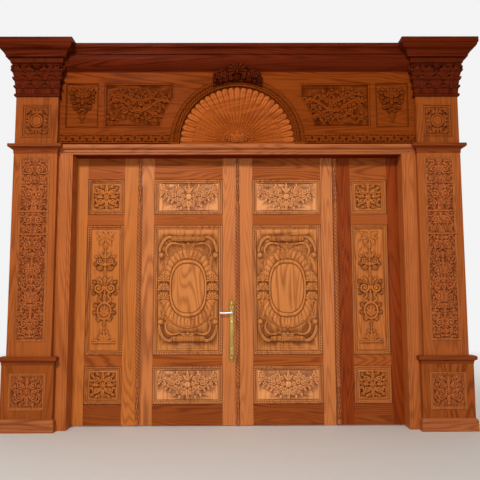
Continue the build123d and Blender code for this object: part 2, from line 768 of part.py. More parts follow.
# Fan: a half disc with grooves that deepen from the hub and leave ridged rays between them
with BuildPart() as fan:
    with BuildSketch(facade):
        with Locations((0, arch_z)):
            Circle(arch_radius)
        with Locations((0, arch_z - arch_radius / 2)):
            Rectangle(2 * arch_radius + 10, arch_radius, mode=Mode.SUBTRACT)
        with Locations((0, (lintel_top + arch_z) / 2)):
            Rectangle(2 * arch_radius, arch_z - lintel_top)
    extrude(amount=fan_setback + fan_ray_height)
    ray_spread = pi / fan_rays
    groove_height = 3 * fan_ray_height
    groove_half = groove_height * ray_spread / 2 * arch_radius / fan_ray_height
    with BuildSketch(Plane(origin=(0, 0, 0), x_dir=(0, 0, 1), z_dir=(arch_radius, fan_ray_height, 0))) as vee:
        Polygon((0, 0), (groove_half, groove_height), (-groove_half, groove_height), align=None)
    groove = extrude(vee.sketch, amount=2 * arch_radius, mode=Mode.PRIVATE)
    fan_face = wall_y - fan_setback - fan_ray_height
    with Locations(*[
        Location((0, fan_face, arch_z), (0, -degrees(turn * ray_spread), 0)) for turn in range(fan_rays + 1)
    ]):
        add(groove, mode=Mode.SUBTRACT)
save(fan, "fan")

# Crown over the top of the arch, cut to the frieze, the arch and the cornice behind it
with BuildPart() as crown:
    crown_low = arch_z + arch_radius - crown_overlap
    crown_middle = crown_low + 0.45 * crown_height
    with BuildSketch(facade):
        with Locations((0, crown_low + 0.3 * crown_height)):
            Rectangle(0.9 * crown_width, 0.3 * crown_height)
        lobed([(0, crown_low + 0.6 * crown_height)], 0.4 * crown_width, 1.1 * crown_height, 6)
        lobed([(side * 0.3 * crown_width, crown_middle) for side in (-1, 1)],
              0.4 * crown_width, 0.7 * crown_height, 5)
    extrude(amount=arch_projection + crown_projection)
    add(centre_cornice, mode=Mode.SUBTRACT)
    add(frieze.part, mode=Mode.SUBTRACT)
    with BuildSketch(facade):
        with Locations((0, arch_z)):
            Circle(arch_outer)
    extrude(amount=arch_projection + relief_low, mode=Mode.SUBTRACT)
save(crown, "crown")


# Hinges: lift-off pairs, the pin stands in the lower knuckle
hinge_levels = [
    leaf_bottom + (leaf_top - leaf_bottom) * (0.09 + 0.82 * step / (hinges_in_line - 1))
    for step in range(hinges_in_line)
]
plate_leaf_thickness = (joint_gap - hinge_play) / 2
plate_low_y = face_y + hinge_plate_inset


def hinge_half(direction, lower):
    """Plate on one side of the pivot, at the origin; the lower half carries the pin."""
    half = hinge_height / 2
    low, high = (-half, -hinge_play / 2) if lower else (hinge_play / 2, half)
    plate_x = direction * (hinge_play + plate_leaf_thickness) / 2
    with BuildPart() as plate:
        with Locations((plate_x, (plate_low_y + inner_y) / 2, 0)):
            Box(plate_leaf_thickness, inner_y - plate_low_y, hinge_height)
        with Locations((plate_x, (inner_y + pivot_y) / 2, (low + high) / 2)):
            Box(plate_leaf_thickness, pivot_y - inner_y, high - low)
        with BuildSketch(Plane.XY.offset(low)):
            with Locations((0, pivot_y)):
                RegularPolygon(knuckle_radius, small_round_sides)
        extrude(amount=high - low)
        with BuildSketch(Plane.XY):
            with Locations((0, pivot_y)):
                if lower:
                    RegularPolygon(pin_radius, small_round_sides)
                else:
                    RegularPolygon(pin_radius + pin_clearance, small_round_sides, major_radius=False)
        if lower:
            extrude(amount=pin_length / 2, both=True)
        else:
            extrude(amount=pin_length / 2 + pin_end_clearance, mode=Mode.SUBTRACT)
    return plate.part


halves = {(direction, lower): hinge_half(direction, lower) for direction in (-1, 1) for lower in (True, False)}


def hinge_line(label, sets):
    """Every hinge half of one body, given as (pivot, side of the plate, carries the pin)."""
    with BuildPart() as line:
        for pivot_x, direction, lower in sets:
            with Locations(*[(pivot_x, 0, level) for level in hinge_levels]):
                add(halves[(direction, lower)])
    save(line, label)


hinge_line("frame_hinge_plates", ((-jamb_pivot, -1, True), (jamb_pivot, 1, True)))
for side, name in ((-1, "left"), (1, "right")):
    hinge_line("side_" + name + "_hinge_plates",
               ((side * jamb_pivot, -side, False), (side * side_joint, side, True)))
    hinge_line("main_" + name + "_hinge_plates", ((side * side_joint, -side, False),))


# Lock of the left wide leaf: case in the meeting stile, long plates and levers
stile_middle_y = face_y + leaf_thickness / 2
spindle_x = left_meeting_edge - plate_edge_margin - plate_width / 2
lever_z = lock_height
plate_middle_z = lever_z + lever_drop * 0.6 - plate_length / 2
deadbolt_z = lever_z - deadbolt_drop
hub_radius = 0.75 * spindle_side
plug_radius = 8.0
case_middle_x = left_meeting_edge - face_plate_thickness - case_depth / 2
case_middle_z = lever_z - 0.25 * case_height


def lock_holes(extra=0.0):
    """Holes that the spindle and the key plug need through everything on the stile."""
    with BuildSketch(Plane(origin=(spindle_x, stile_middle_y, 0), x_dir=(1, 0, 0), z_dir=(0, -1, 0))) as holes:
        for level, radius in ((lever_z, hub_radius), (deadbolt_z, plug_radius + lever_clearance)):
            with Locations((0, level)):
                RegularPolygon(radius + extra, small_round_sides, major_radius=False)
    extrude(holes.sketch, amount=2 * leaf_thickness, both=True, mode=Mode.SUBTRACT)


def lock_bodies(mode=Mode.ADD):
    with Locations((case_middle_x, stile_middle_y, case_middle_z)):
        Box(case_depth, case_width, case_height, mode=mode)
    with Locations((left_meeting_edge - face_plate_thickness / 2, stile_middle_y, case_middle_z)):
        Box(face_plate_thickness, case_width + 6, case_height + 30, mode=mode)


tongue_rows = (("latch", lever_z, latch_height, latch_throw), ("deadbolt", deadbolt_z, deadbolt_height, -0.5))
tongue_length = plate_edge_margin + plate_width / 2 - plug_radius - 1
with BuildPart() as lock_case:
    lock_bodies()
    lock_holes()
    for _, level, rise, _ in tongue_rows:
        with Locations((left_meeting_edge - (tongue_length + latch_throw) / 2, stile_middle_y, level)):
            Box(tongue_length + 2 * latch_throw, tongue_width + 2 * lever_clearance,
                rise + 2 * lever_clearance, mode=Mode.SUBTRACT)
save(lock_case, "lock_case")

with BuildPart() as lock_stiles:
    add(stiles["main_left"].part)
    lock_bodies(Mode.SUBTRACT)
    lock_holes(1.0)
save(lock_stiles, "main_left_stiles")

for label, level, rise, out in tongue_rows:
    with BuildPart() as tongue:
        with Locations((left_meeting_edge + out - tongue_length / 2, stile_middle_y, level)):
            Box(tongue_length, tongue_width, rise)
    save(tongue, label)

for label, side in (("outer_plate", -1), ("inner_plate", 1)):
    seat = face_y if side < 0 else inner_y
    with BuildPart() as plate:
        with BuildSketch(Plane(origin=(spindle_x, seat, 0), x_dir=(1, 0, 0), z_dir=(0, -1, 0))):
            with Locations((0, plate_middle_z)):
                Rectangle(plate_width, plate_length)
                Rectangle(0.55 * plate_width, plate_length + 24)
        extrude(amount=-side * plate_thickness)
        lock_holes()
    save(plate, label)

for label, side in (("outer_lever", -1), ("inner_lever", 1)):
    seat = (face_y - plate_thickness) if side < 0 else (inner_y + plate_thickness)
    arm_y = seat + side * (lever_standoff - lever_section / 2)
    with BuildPart() as lever:
        boss_middle_y = seat + side * (lever_clearance + lever_standoff) / 2
        with BuildSketch(Plane(origin=(spindle_x, boss_middle_y, lever_z), x_dir=(1, 0, 0), z_dir=(0, -1, 0))):
            RegularPolygon(lever_boss_radius, boss_sides)
        extrude(amount=(lever_standoff - lever_clearance) / 2, both=True)
        with BuildSketch(Plane(origin=(spindle_x, arm_y, lever_z), x_dir=(1, 0, 0), z_dir=(0, -1, 0))):
            Polygon((6, 9), (-30, 10), (-0.7 * lever_length, 7), (-lever_length, 1),
                    (-lever_length, -9), (-0.7 * lever_length, -6), (-30, -7), (6, -9), align=None)
        extrude(amount=lever_section / 2, both=True)
        if side > 0:
            spindle_length = leaf_thickness + 2 * plate_thickness + lever_clearance
            with Locations((spindle_x, seat + lever_clearance - spindle_length / 2, lever_z)):
                Box(spindle_side, spindle_length, spindle_side)
    save(lever, label)

with BuildPart() as thumb_turn:
    plug_length = leaf_thickness + 2 * plate_thickness
    with BuildSketch(Plane(origin=(spindle_x, stile_middle_y, deadbolt_z), x_dir=(1, 0, 0), z_dir=(0, -1, 0))):
        RegularPolygon(plug_radius, small_round_sides)
    extrude(amount=plug_length / 2, both=True)
    with Locations((spindle_x, inner_y + plate_thickness + turn_length / 2, deadbolt_z)):
        Box(8, turn_length, 2 * turn_radius)
save(thumb_turn, "thumb_turn")

# Strike on the right wide leaf, with pockets for the latch and the bolt
strike_x = right_meeting_edge + strike_thickness / 2
strike_z = (lever_z + deadbolt_z) / 2
with BuildPart() as strike:
    with Locations((strike_x, stile_middle_y, strike_z)):
        Box(strike_thickness, case_width + 6, strike_height)
    for _, level, rise, _ in tongue_rows:
        with Locations((strike_x, stile_middle_y, level)):
            Box(3 * strike_thickness, tongue_width + 3, rise + 4, mode=Mode.SUBTRACT)
save(strike, "strike")
with BuildPart() as pocketed_stiles:
    add(stiles["main_right"].part)
    with Locations((strike_x, stile_middle_y, strike_z)):
        Box(strike_thickness, case_width + 6, strike_height, mode=Mode.SUBTRACT)
    for _, level, rise, _ in tongue_rows:
        with Locations((right_meeting_edge + bolt_travel / 2, stile_middle_y, level)):
            Box(bolt_travel, tongue_width + 3, rise + 4, mode=Mode.SUBTRACT)
stiles["main_right"] = pocketed_stiles

# Flush bolts that hold the other three leaves to the head
flush_x = {
    "side_left": -side_free_edge - flush_bolt_setback,
    "side_right": side_free_edge + flush_bolt_setback,
    "main_right": right_meeting_edge + flush_bolt_setback,
}
bolt_top = leaf_top - 1
bolt_low = bolt_top - flush_bolt_length
knob_z = bolt_low + flush_knob
for name, x in flush_x.items():
    with BuildPart() as bolt:
        with Locations((x, stile_middle_y, (bolt_low + bolt_top) / 2)):
            Box(flush_bolt_side, flush_bolt_side, flush_bolt_length)
        with Locations((x, (stile_middle_y + inner_y + flush_knob) / 2, knob_z)):
            Box(flush_knob, inner_y + flush_knob - stile_middle_y, flush_knob)
    save(bolt, name + "_bolt")
    bore = flush_bolt_side + 2 * flush_bolt_clearance
    with BuildPart() as bored_stiles:
        add(stiles[name].part)
        with Locations((x, stile_middle_y, (bolt_low + leaf_top) / 2)):
            Box(bore, bore, leaf_top - bolt_low, mode=Mode.SUBTRACT)
        with Locations((x, (stile_middle_y + inner_y) / 2, knob_z + bolt_travel / 2)):
            Box(flush_knob + 2 * flush_bolt_clearance, inner_y - stile_middle_y,
                flush_knob + bolt_travel + 2 * flush_bolt_clearance, mode=Mode.SUBTRACT)
    save(bored_stiles, name + "_stiles")
with BuildPart() as socketed_head:
    add(head.part)
    for x in flush_x.values():
        with Locations((x, stile_middle_y, head_rebate_z + bolt_travel / 2)):
            Box(bore, bore, bolt_travel, mode=Mode.SUBTRACT)
save(socketed_head, "head")
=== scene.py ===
"""Looks of a carved four-leaf entrance door with its frame, pilasters, frieze and fan arch.

Carved faces are worked out as heights over a lattice and lofted into closed boards that sit where the
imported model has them. The rest of the timber keeps its own solids and gets a varnished wood finish.
Lengths are in metres, apart from the carving itself, which is laid out in millimetres.
"""

import math
import random

import bpy
import numpy as np
from mathutils import Matrix, Vector


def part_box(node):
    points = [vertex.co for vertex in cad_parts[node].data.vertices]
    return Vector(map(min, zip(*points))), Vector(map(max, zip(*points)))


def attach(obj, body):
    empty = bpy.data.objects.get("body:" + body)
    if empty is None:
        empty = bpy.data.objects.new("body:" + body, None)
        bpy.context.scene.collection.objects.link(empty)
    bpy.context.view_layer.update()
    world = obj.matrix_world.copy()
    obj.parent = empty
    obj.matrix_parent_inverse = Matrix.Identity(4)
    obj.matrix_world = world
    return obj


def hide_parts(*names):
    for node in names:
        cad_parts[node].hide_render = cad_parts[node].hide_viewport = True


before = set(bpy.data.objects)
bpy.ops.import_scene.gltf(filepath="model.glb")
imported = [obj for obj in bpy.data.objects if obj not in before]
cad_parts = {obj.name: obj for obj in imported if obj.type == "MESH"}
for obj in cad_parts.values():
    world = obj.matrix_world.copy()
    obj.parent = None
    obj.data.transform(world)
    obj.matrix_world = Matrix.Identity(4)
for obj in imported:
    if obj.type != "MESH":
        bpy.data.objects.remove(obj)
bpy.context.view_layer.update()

MM = 0.001
IMAGE_SIZE = 480
SENSOR = 36.0

# Camera, fitted to the photograph
FOCAL_PIXELS = 561.85
CAMERA_SPOT = (-0.0036, -5.1589, 1.1781)
CAMERA_YAW, CAMERA_PITCH, CAMERA_ROLL = 0.283, 5.772, -0.165

# Carving, in millimetres
LATTICE_STEP = 3.6
KEPT_SHARE, EDGE_SHARE, FINE_SHARE = 0.42, 0.8, 0.6
FIELD_RISE = 5.0
ROPE_PITCH = 24.0
ROPE_RADIUS = 11.5
ROPE_RUN_STEP, SMALL_ROPE_STEP = 4.2, 5.0
ROPE_WIDTH = 34.0
ROPE_MIDDLE = 12.4
COLUMN_PITCH = 36.0
BOARD_BACK = 12.0
HOLLOW_DEPTH = 5.0
CLOSE_ROUNDS, WIDE_ROUNDS = 4, 9
SHARP_ANGLE = 50
VEIN_WIDTH = 0.14
LEAF_LOBES = 3
CURL_TURNS = 1.5
STEM_POINTS = 26


# Lofted meshes

def tidy_mesh(piece, sharp_angle=SHARP_ANGLE):
    mesh = piece.data
    mesh.update()
    mesh.polygons.foreach_set("use_smooth", [True] * len(mesh.polygons))
    mesh.set_sharp_from_angle(angle=math.radians(sharp_angle))
    return piece


def mesh_piece(name, points, faces, hollow=None, sharp_angle=SHARP_ANGLE):
    """Object of the given points and faces; hollow says how deep each point lies in the carving."""
    mesh = bpy.data.meshes.new(name)
    mesh.from_pydata(points.tolist(), [], faces)
    if hollow is not None:
        layer = mesh.attributes.new("hollow", "FLOAT", "POINT")
        layer.data.foreach_set("value", hollow.astype(np.float32))
    piece = bpy.data.objects.new(name, mesh)
    bpy.context.scene.collection.objects.link(piece)
    return tidy_mesh(piece, sharp_angle)


def loft_faces(sections, around, ring=False, first=0):
    """Quads between neighbouring closed sections; ring also joins the last section to the first."""
    rows = np.arange(sections if ring else sections - 1)[:, None]
    columns = np.arange(around)[None, :]
    nearer = rows * around
    further = ((rows + 1) % sections) * around
    beside = (columns + 1) % around
    quads = np.stack([nearer + columns, nearer + beside, further + beside, further + columns], axis=-1)
    faces = (quads.reshape(-1, 4) + first).tolist()
    if not ring:
        faces.append([first + i for i in reversed(range(around))])
        faces.append([first + (sections - 1) * around + i for i in range(around)])
    return faces


def loft(name, sections, hollow=None, ring=False, sharp_angle=SHARP_ANGLE):
    """Closed mesh through sections, an array of closed loops of points."""
    count, around = sections.shape[:2]
    flat = None if hollow is None else hollow.reshape(-1)
    return mesh_piece(name, sections.reshape(-1, 3), loft_faces(count, around, ring), flat, sharp_angle)


def joined(name, pieces):
    """One object of several pieces, which keep their meshes apart inside it."""
    points, faces, depths = [], [], []
    for piece in pieces:
        mesh = piece.data
        start = sum(len(block) for block in points)
        block = np.zeros(len(mesh.vertices) * 3)
        mesh.vertices.foreach_get("co", block)
        points.append(block.reshape(-1, 3))
        hollow = np.zeros(len(mesh.vertices))
        if "hollow" in mesh.attributes:
            mesh.attributes["hollow"].data.foreach_get("value", hollow)
        depths.append(hollow)
        faces += [[start + corner for corner in polygon.vertices] for polygon in mesh.polygons]
        bpy.data.objects.remove(piece)
    return mesh_piece(name, np.concatenate(points), faces, np.concatenate(depths))


def thinned(piece, share):
    """Drops the points that flat ground doesn't need."""
    modifier = piece.modifiers.new("thin", "DECIMATE")
    modifier.ratio = share
    graph = bpy.context.evaluated_depsgraph_get()
    mesh = bpy.data.meshes.new_from_object(piece.evaluated_get(graph))
    piece.modifiers.clear()
    piece.data = mesh
    return tidy_mesh(piece)


def softened(values, rounds):
    """Heights averaged with their neighbours, a number of times."""
    for _ in range(rounds):
        wide = np.pad(values, 1, mode="edge")
        values = (wide[:-2, 1:-1] + wide[2:, 1:-1] + wide[1:-1, :-2] + wide[1:-1, 2:] + 2 * values) / 6
    return values


def hollows(height, depth):
    """How far each point lies below its surroundings, from 0 to 1, and negative on ridges; the wood finish
    paints it as shade in hollows and a highlight on ridges.
    """
    close = softened(height, CLOSE_ROUNDS) - height
    wide = softened(height, WIDE_ROUNDS) - height
    return np.clip(close / (0.75 * depth) + wide / (3.4 * depth), -1, 1)


def rounded(share):
    """Half round: 1 in the middle, 0 at a share of 1 to either side."""
    return np.sqrt(np.clip(1 - share**2, 0, 1))


def bell(share):
    """Soft ridge that fades to either side."""
    return np.exp(-(share**2))


def notches(run, pitch):
    """Row of round-topped notches, one for each pitch of the run."""
    return np.abs(np.cos(np.pi * run / pitch))


def solids_of(node):
    """Boxes of a node's separate solids, from the floor up and then from left to right."""
    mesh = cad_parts[node].data
    places = np.zeros(len(mesh.vertices) * 3)
    mesh.vertices.foreach_get("co", places)
    places = places.reshape(-1, 3)
    spot = np.unique(np.round(places, 5), axis=0, return_inverse=True)[1].reshape(-1)
    leader = list(range(spot.max() + 1))

    def find(i):
        while leader[i] != i:
            leader[i] = leader[leader[i]]
            i = leader[i]
        return i

    for polygon in mesh.polygons:
        corners = [find(spot[i]) for i in polygon.vertices]
        for corner in corners[1:]:
            leader[find(corner)] = find(corners[0])
    owner = np.array([find(i) for i in spot])
    boxes = [(places[owner == i].min(0), places[owner == i].max(0)) for i in np.unique(owner)]
    return sorted(boxes, key=lambda box: (round(box[0][2], 2), box[0][0]))


def edges_of(low, high):
    """Left, right, bottom and top of a box as seen from the street."""
    return low[0], high[0], low[2], high[2]


# Carving strokes: every shape raises the heights it covers

class Carving:
    """Heights in millimetres over places u to the right and v up."""

    def __init__(self, u, v, ground=0.0):
        self.u, self.v = u, v
        self.height = np.zeros(u.shape) + ground
        self.base = self.height.copy()

    def near(self, u, v, reach):
        rows = (np.abs(self.u - u) < reach) & (np.abs(self.v - v) < reach)
        return rows, self.u[rows] - u, self.v[rows] - v

    def lift(self, rows, rise):
        self.height[rows] = np.maximum(self.height[rows], self.base[rows] + rise)

    def leaf(self, u, v, angle, length, width, rise=9.0, bend=0.0):
        """Acanthus leaf from its foot at (u, v), with a middle vein and side lobes."""
        rows, a, b = self.near(u, v, 1.1 * length)
        turn = math.radians(angle)
        along = (a * math.cos(turn) + b * math.sin(turn)) / length
        across = (b * math.cos(turn) - a * math.sin(turn)) / (width / 2) - bend * along**2
        share = np.clip(along, 0, 1)
        lobe = 1 + 0.2 * np.cos(2 * np.pi * LEAF_LOBES * (share - 0.22 * np.abs(across)))
        edge = np.maximum(np.sin(np.pi * share**0.8), 0) ** 0.65 * lobe
        body = rounded(across / np.maximum(edge, 0.02))
        vein = 1 - 0.35 * bell(across / VEIN_WIDTH)
        ribs = 1 - 0.12 * (1 + np.cos(4 * np.pi * LEAF_LOBES * (share - 0.3 * np.abs(across))))
        swell = 0.5 + 0.5 * np.sin(np.pi * share**0.7)
        self.lift(rows, rise * swell * body * vein * ribs * ((along > 0) & (along < 1)))

    def stroke(self, path, widths, rise=8.0, groove=0.0):
        """Rounded stem along path, with a half width for each point of it."""
        path, widths = np.asarray(path, float), np.asarray(widths, float)
        reach = widths.max()
        low, high = path.min(0) - reach, path.max(0) + reach
        rows = (self.u > low[0]) & (self.u < high[0]) & (self.v > low[1]) & (self.v < high[1])
        a, b = self.u[rows], self.v[rows]
        nearest = np.full(a.shape, 9.0)
        for start, end, thick, thin in zip(path, path[1:], widths, widths[1:]):
            run = end - start
            share = ((a - start[0]) * run[0] + (b - start[1]) * run[1]) / max(run @ run, 1e-9)
            share = np.clip(share, 0, 1)
            away = np.hypot(a - start[0] - share * run[0], b - start[1] - share * run[1])
            nearest = np.minimum(nearest, away / (thick + (thin - thick) * share))
        round_top = rounded(nearest)
        self.lift(rows, rise * round_top * (1 - groove * bell(nearest / 0.35)))

    def bead(self, u, v, radius, rise=None):
        rows, a, b = self.near(u, v, radius)
        rise = 0.8 * radius if rise is None else rise
        self.lift(rows, rise * np.sqrt(np.clip(1 - (a**2 + b**2) / radius**2, 0, 1)))

    def curl(self, u, v, radius, start=0.0, hand=1, turns=1.35, rise=9.0):
        """Scroll that winds from its rim to a bead in the middle."""
        share = np.linspace(0, 1, 20)
        reach = radius * (0.84 - 0.66 * share)
        turn = math.radians(start) + hand * turns * 2 * np.pi * share
        path = np.stack([u + reach * np.cos(turn), v + reach * np.sin(turn)], axis=1)
        self.stroke(path, radius * (0.2 - 0.06 * share), rise, groove=0.2)
        self.bead(u, v, 0.26 * radius, 0.95 * rise)

    def swirl(self, u, v, radius, start=0.0, hand=1, rise=10.0):
        """Small round curl: a dome with a groove that winds to its middle."""
        rows, a, b = self.near(u, v, radius)
        away = np.hypot(a, b) / radius
        turn = hand * np.arctan2(b, a) - math.radians(start)
        groove = 0.5 + 0.5 * np.cos(2 * np.pi * 1.6 * away**0.8 - turn)
        self.lift(rows, rise * np.clip(1 - away**2, 0, 1) ** 0.4 * (0.42 + 0.58 * groove))

    def curled_leaf(self, u, v, length, width, rise=20.0):
        """Upright leaf along the first axis, low at its foot, whose tip bends out and over."""
        rows, a, b = self.near(u, v, 1.1 * length)
        along, across = a / length, b / (width / 2)
        share = np.clip(along, 0, 1)
        edge = (0.62 + 0.38 * np.sin(np.pi * share)) * np.clip(8 * (1 - share), 0, 1) ** 0.5
        edge *= 1 + 0.16 * np.cos(2 * np.pi * LEAF_LOBES * (share - 0.2 * np.abs(across)))
        body = rounded(across / np.maximum(edge, 0.02))
        tip = np.clip((share - 0.62) / 0.22, 0, 1)
        reach = 0.34 + 0.12 * share + 0.54 * tip**2 * (3 - 2 * tip)
        ribs = 1 - 0.2 * np.abs(np.sin(2.5 * np.pi * across)) * (1 - 0.7 * tip)
        self.lift(rows, rise * reach * body**0.7 * ribs * ((along > 0) & (along < 1)))

    def leaves(self, rise, rows):
        for u, v, angle, length, width in rows:
            self.leaf(u, v, angle, length, width, rise)

    def swirls(self, rise, rows):
        for u, v, radius, start, hand in rows:
            self.swirl(u, v, radius, start, hand, rise)

    def curls(self, rise, rows):
        for u, v, radius, start, hand in rows:
            self.curl(u, v, radius, start, hand, CURL_TURNS, rise)

    def rosette(self, u, v, radius, petals=6, rise=9.0):
        rows, a, b = self.near(u, v, radius)
        away, turn = np.hypot(a, b) / radius, np.arctan2(b, a)
        petal = np.abs(np.cos(petals * turn / 2))
        rim = 0.72 + 0.28 * petal
        dome = rounded(away / rim) * (0.62 + 0.38 * petal)
        self.lift(rows, rise * dome)
        self.bead(u, v, 0.3 * radius, 1.1 * rise)

    def shell(self, u, v, angle, radius, spread=150.0, ribs=9, rise=9.0):
        """Scallop that opens towards angle."""
        rows, a, b = self.near(u, v, radius)
        away = np.hypot(a, b) / radius
        turn = (np.degrees(np.arctan2(b, a)) - angle + 180) % 360 - 180
        rib = np.abs(np.cos(np.pi * ribs * turn / spread))
        rim = 0.86 + 0.14 * rib
        dome = rounded((away - 0.55) / (rim - 0.5)) * (0.55 + 0.45 * rib)
        self.lift(rows, rise * dome * (np.abs(turn) < spread / 2))
        self.bead(u, v, 0.2 * radius, rise)

    def fan_of_leaves(self, u, v, angle, length, width, spread, count, rise=9.0):
        for step in range(count):
            share = step / (count - 1) - 0.5 if count > 1 else 0.0
            short, low = 1 - 0.55 * abs(share), 1 - 0.3 * abs(share)
            self.leaf(u, v, angle + spread * share, length * short, width, rise * low, 1.2 * share)

    def mirrored(self):
        """The right half repeated on the left; the lattice's first axis runs from left to right."""
        self.height = np.maximum(self.height, self.height[::-1])


def relief(name, s, low, high, place, back, draw, step=LATTICE_STEP, keep=KEPT_SHARE, depth=HOLLOW_DEPTH):
    """Carved board: a lattice along s, and across it from low to high, lifted by what draw carves.

    place(s, t, height) gives points in metres, and back is the height of the board's flat back.
    """
    low, high = np.broadcast_to(low, s.shape), np.broadcast_to(high, s.shape)
    rows = max(3, int(round(float(np.max(high - low)) / step)) + 1)
    share = np.linspace(0, 1, rows)
    across = low[:, None] + share[None, :] * (high - low)[:, None]
    along = np.repeat(s[:, None], rows, axis=1)
    carving = Carving(along, across)
    draw(carving)
    ends = [rows - 1, 0]
    front = place(along, across, carving.height)
    behind = place(along[:, ends], across[:, ends], np.full((len(s), 2), float(back)))
    sections = np.concatenate([front, behind], axis=1)
    hollow = np.concatenate([hollows(carving.height, depth), np.zeros((len(s), 2))], axis=1)
    piece = loft(name, sections, hollow)
    return thinned(piece, keep) if keep < 1 else piece


def spaced(low, high, step=LATTICE_STEP):
    return np.linspace(low, high, max(2, int(round((high - low) / step)) + 1))


def facing(x, front, z):
    """Places of a board that faces the street, about (x, z)."""
    def place(s, t, height):
        return np.stack([x + s * MM, front - height * MM, z + t * MM], axis=-1)
    return place


def carved_board(name, box, front, draw, keep=KEPT_SHARE, step=LATTICE_STEP):
    """Relief over a rectangle given in metres as (left, right, bottom, top), the same on both sides."""
    left, right, bottom, top = box
    half = (right - left) / 2 / MM
    tall = (top - bottom) / 2 / MM
    place = facing((left + right) / 2, front, (bottom + top) / 2)

    def carve(carving):
        draw(carving, half, tall)
        carving.mirrored()

    return relief(name, spaced(-half, half, step), -tall, tall, place, -BOARD_BACK, carve, step, keep)


def rope_frame(name, box, front, scale=1.0, run_step=ROPE_RUN_STEP):
    """Mitred moulding round a rectangle: a twisted rope outside and a small bead inside."""
    left, right, bottom, top = box
    corners = [np.array(spot) for spot in ((left, bottom), (right, bottom), (right, top), (left, top))]
    turn = np.linspace(math.pi, 0, 9)
    sections, hollow = [], []
    run_before = 0.0
    for start, end in zip(corners, corners[1:] + corners[:1]):
        length = np.linalg.norm(end - start)
        ahead = (end - start) / length
        inward = np.array([-ahead[1], ahead[0]])
        count = int(round(length / MM / run_step))
        for share in np.arange(count) / count:
            run = run_before + share * length / MM
            twist = np.abs(np.cos(math.pi * run / ROPE_PITCH / scale - 1.2 * turn))
            radius = ROPE_RADIUS * (0.66 + 0.34 * twist**0.8)
            rope = ROPE_MIDDLE + radius * np.cos(turn)
            reach = np.concatenate([[0, 0, 0.6], rope, [24.4, 27, 31, ROPE_WIDTH, ROPE_WIDTH]])
            rise = np.concatenate([[-2, 4, 4.5], 5.5 + radius * np.sin(turn), [4, 8, 8, 4, -2]])
            reach, rise = reach * scale * MM, rise * scale * MM
            along = reach + share * (length - 2 * reach)
            spot = start + along[:, None] * ahead + reach[:, None] * inward
            sections.append(np.stack([spot[:, 0], front - rise, spot[:, 1]], axis=-1))
            # Painted shade: the colour darkens between the rope's twists and in the grooves beside it.
            hollow.append(np.concatenate([[0.6, 0.6, 0.8], 0.9 * (1 - twist) ** 1.4, [0.8, 0, 0, 0.5, 0]]))
        run_before += length / MM
    return loft(name, np.array(sections), np.array(hollow), ring=True, sharp_angle=65)


# Figures of the carving, drawn on the right half or the whole of a board

def raised_field(carving, half, tall, inset=11.0, rise=FIELD_RISE):
    away = np.minimum(half - np.abs(carving.u), tall - np.abs(carving.v)) - inset
    carving.height += rise * np.clip(away / 4.0, 0, 1)
    carving.base = carving.height.copy()


def draw_spray(carving, half, tall):
    """Wide spray: two wings of small curls with drooping edges, a finial and a drop."""
    raised_field(carving, half, tall)
    carving.swirls(14, (
        (240, 86, 25, 150, -1), (254, 44, 21, 40, 1), (212, 54, 23, 200, 1), (176, 44, 25, 20, -1),
        (216, 12, 20, 300, 1), (138, 64, 23, 160, -1), (102, 82, 27, 30, 1), (136, 20, 25, 200, 1),
        (64, 60, 22, 150, -1), (92, 30, 26, 20, -1), (174, 0, 21, 60, 1), (112, -22, 24, 250, -1),
        (52, 8, 22, 30, 1), (66, -34, 25, 30, 1), (146, -24, 18, 200, -1), (92, -64, 20, 60, 1),
        (44, -72, 22, 220, -1), (24, -38, 18, 100, 1),
    ))
    carving.leaves(12, (
        (256, 26, -50, 30, 20), (224, -2, -60, 30, 20), (188, -16, -64, 32, 22), (152, -34, -64, 34, 22),
        (112, -74, -60, 34, 24), (68, -92, -76, 36, 24), (96, 104, 80, 26, 20), (236, 106, 80, 24, 18),
    ))
    carving.fan_of_leaves(0, 40, 90, 88, 30, 62, 3, 15)
    carving.fan_of_leaves(0, -40, -90, 90, 32, 58, 3, 15)
    carving.rosette(0, 4, 32, 7, 16)
    carving.swirl(0, 54, 18, 90, 1, 15)
    carving.swirl(0, -52, 18, 90, 1, 15)
    carving.bead(0, 126, 8, 10)


def oval_share(carving, half_width, half_height, power=2.0, middle=0.0):
    """Share of the way from the middle to the rim; a power over 2 flattens the sides."""
    across, up = np.abs(carving.u / half_width), np.abs((carving.v - middle) / half_height)
    return (across**power + up**power) ** (1 / power)


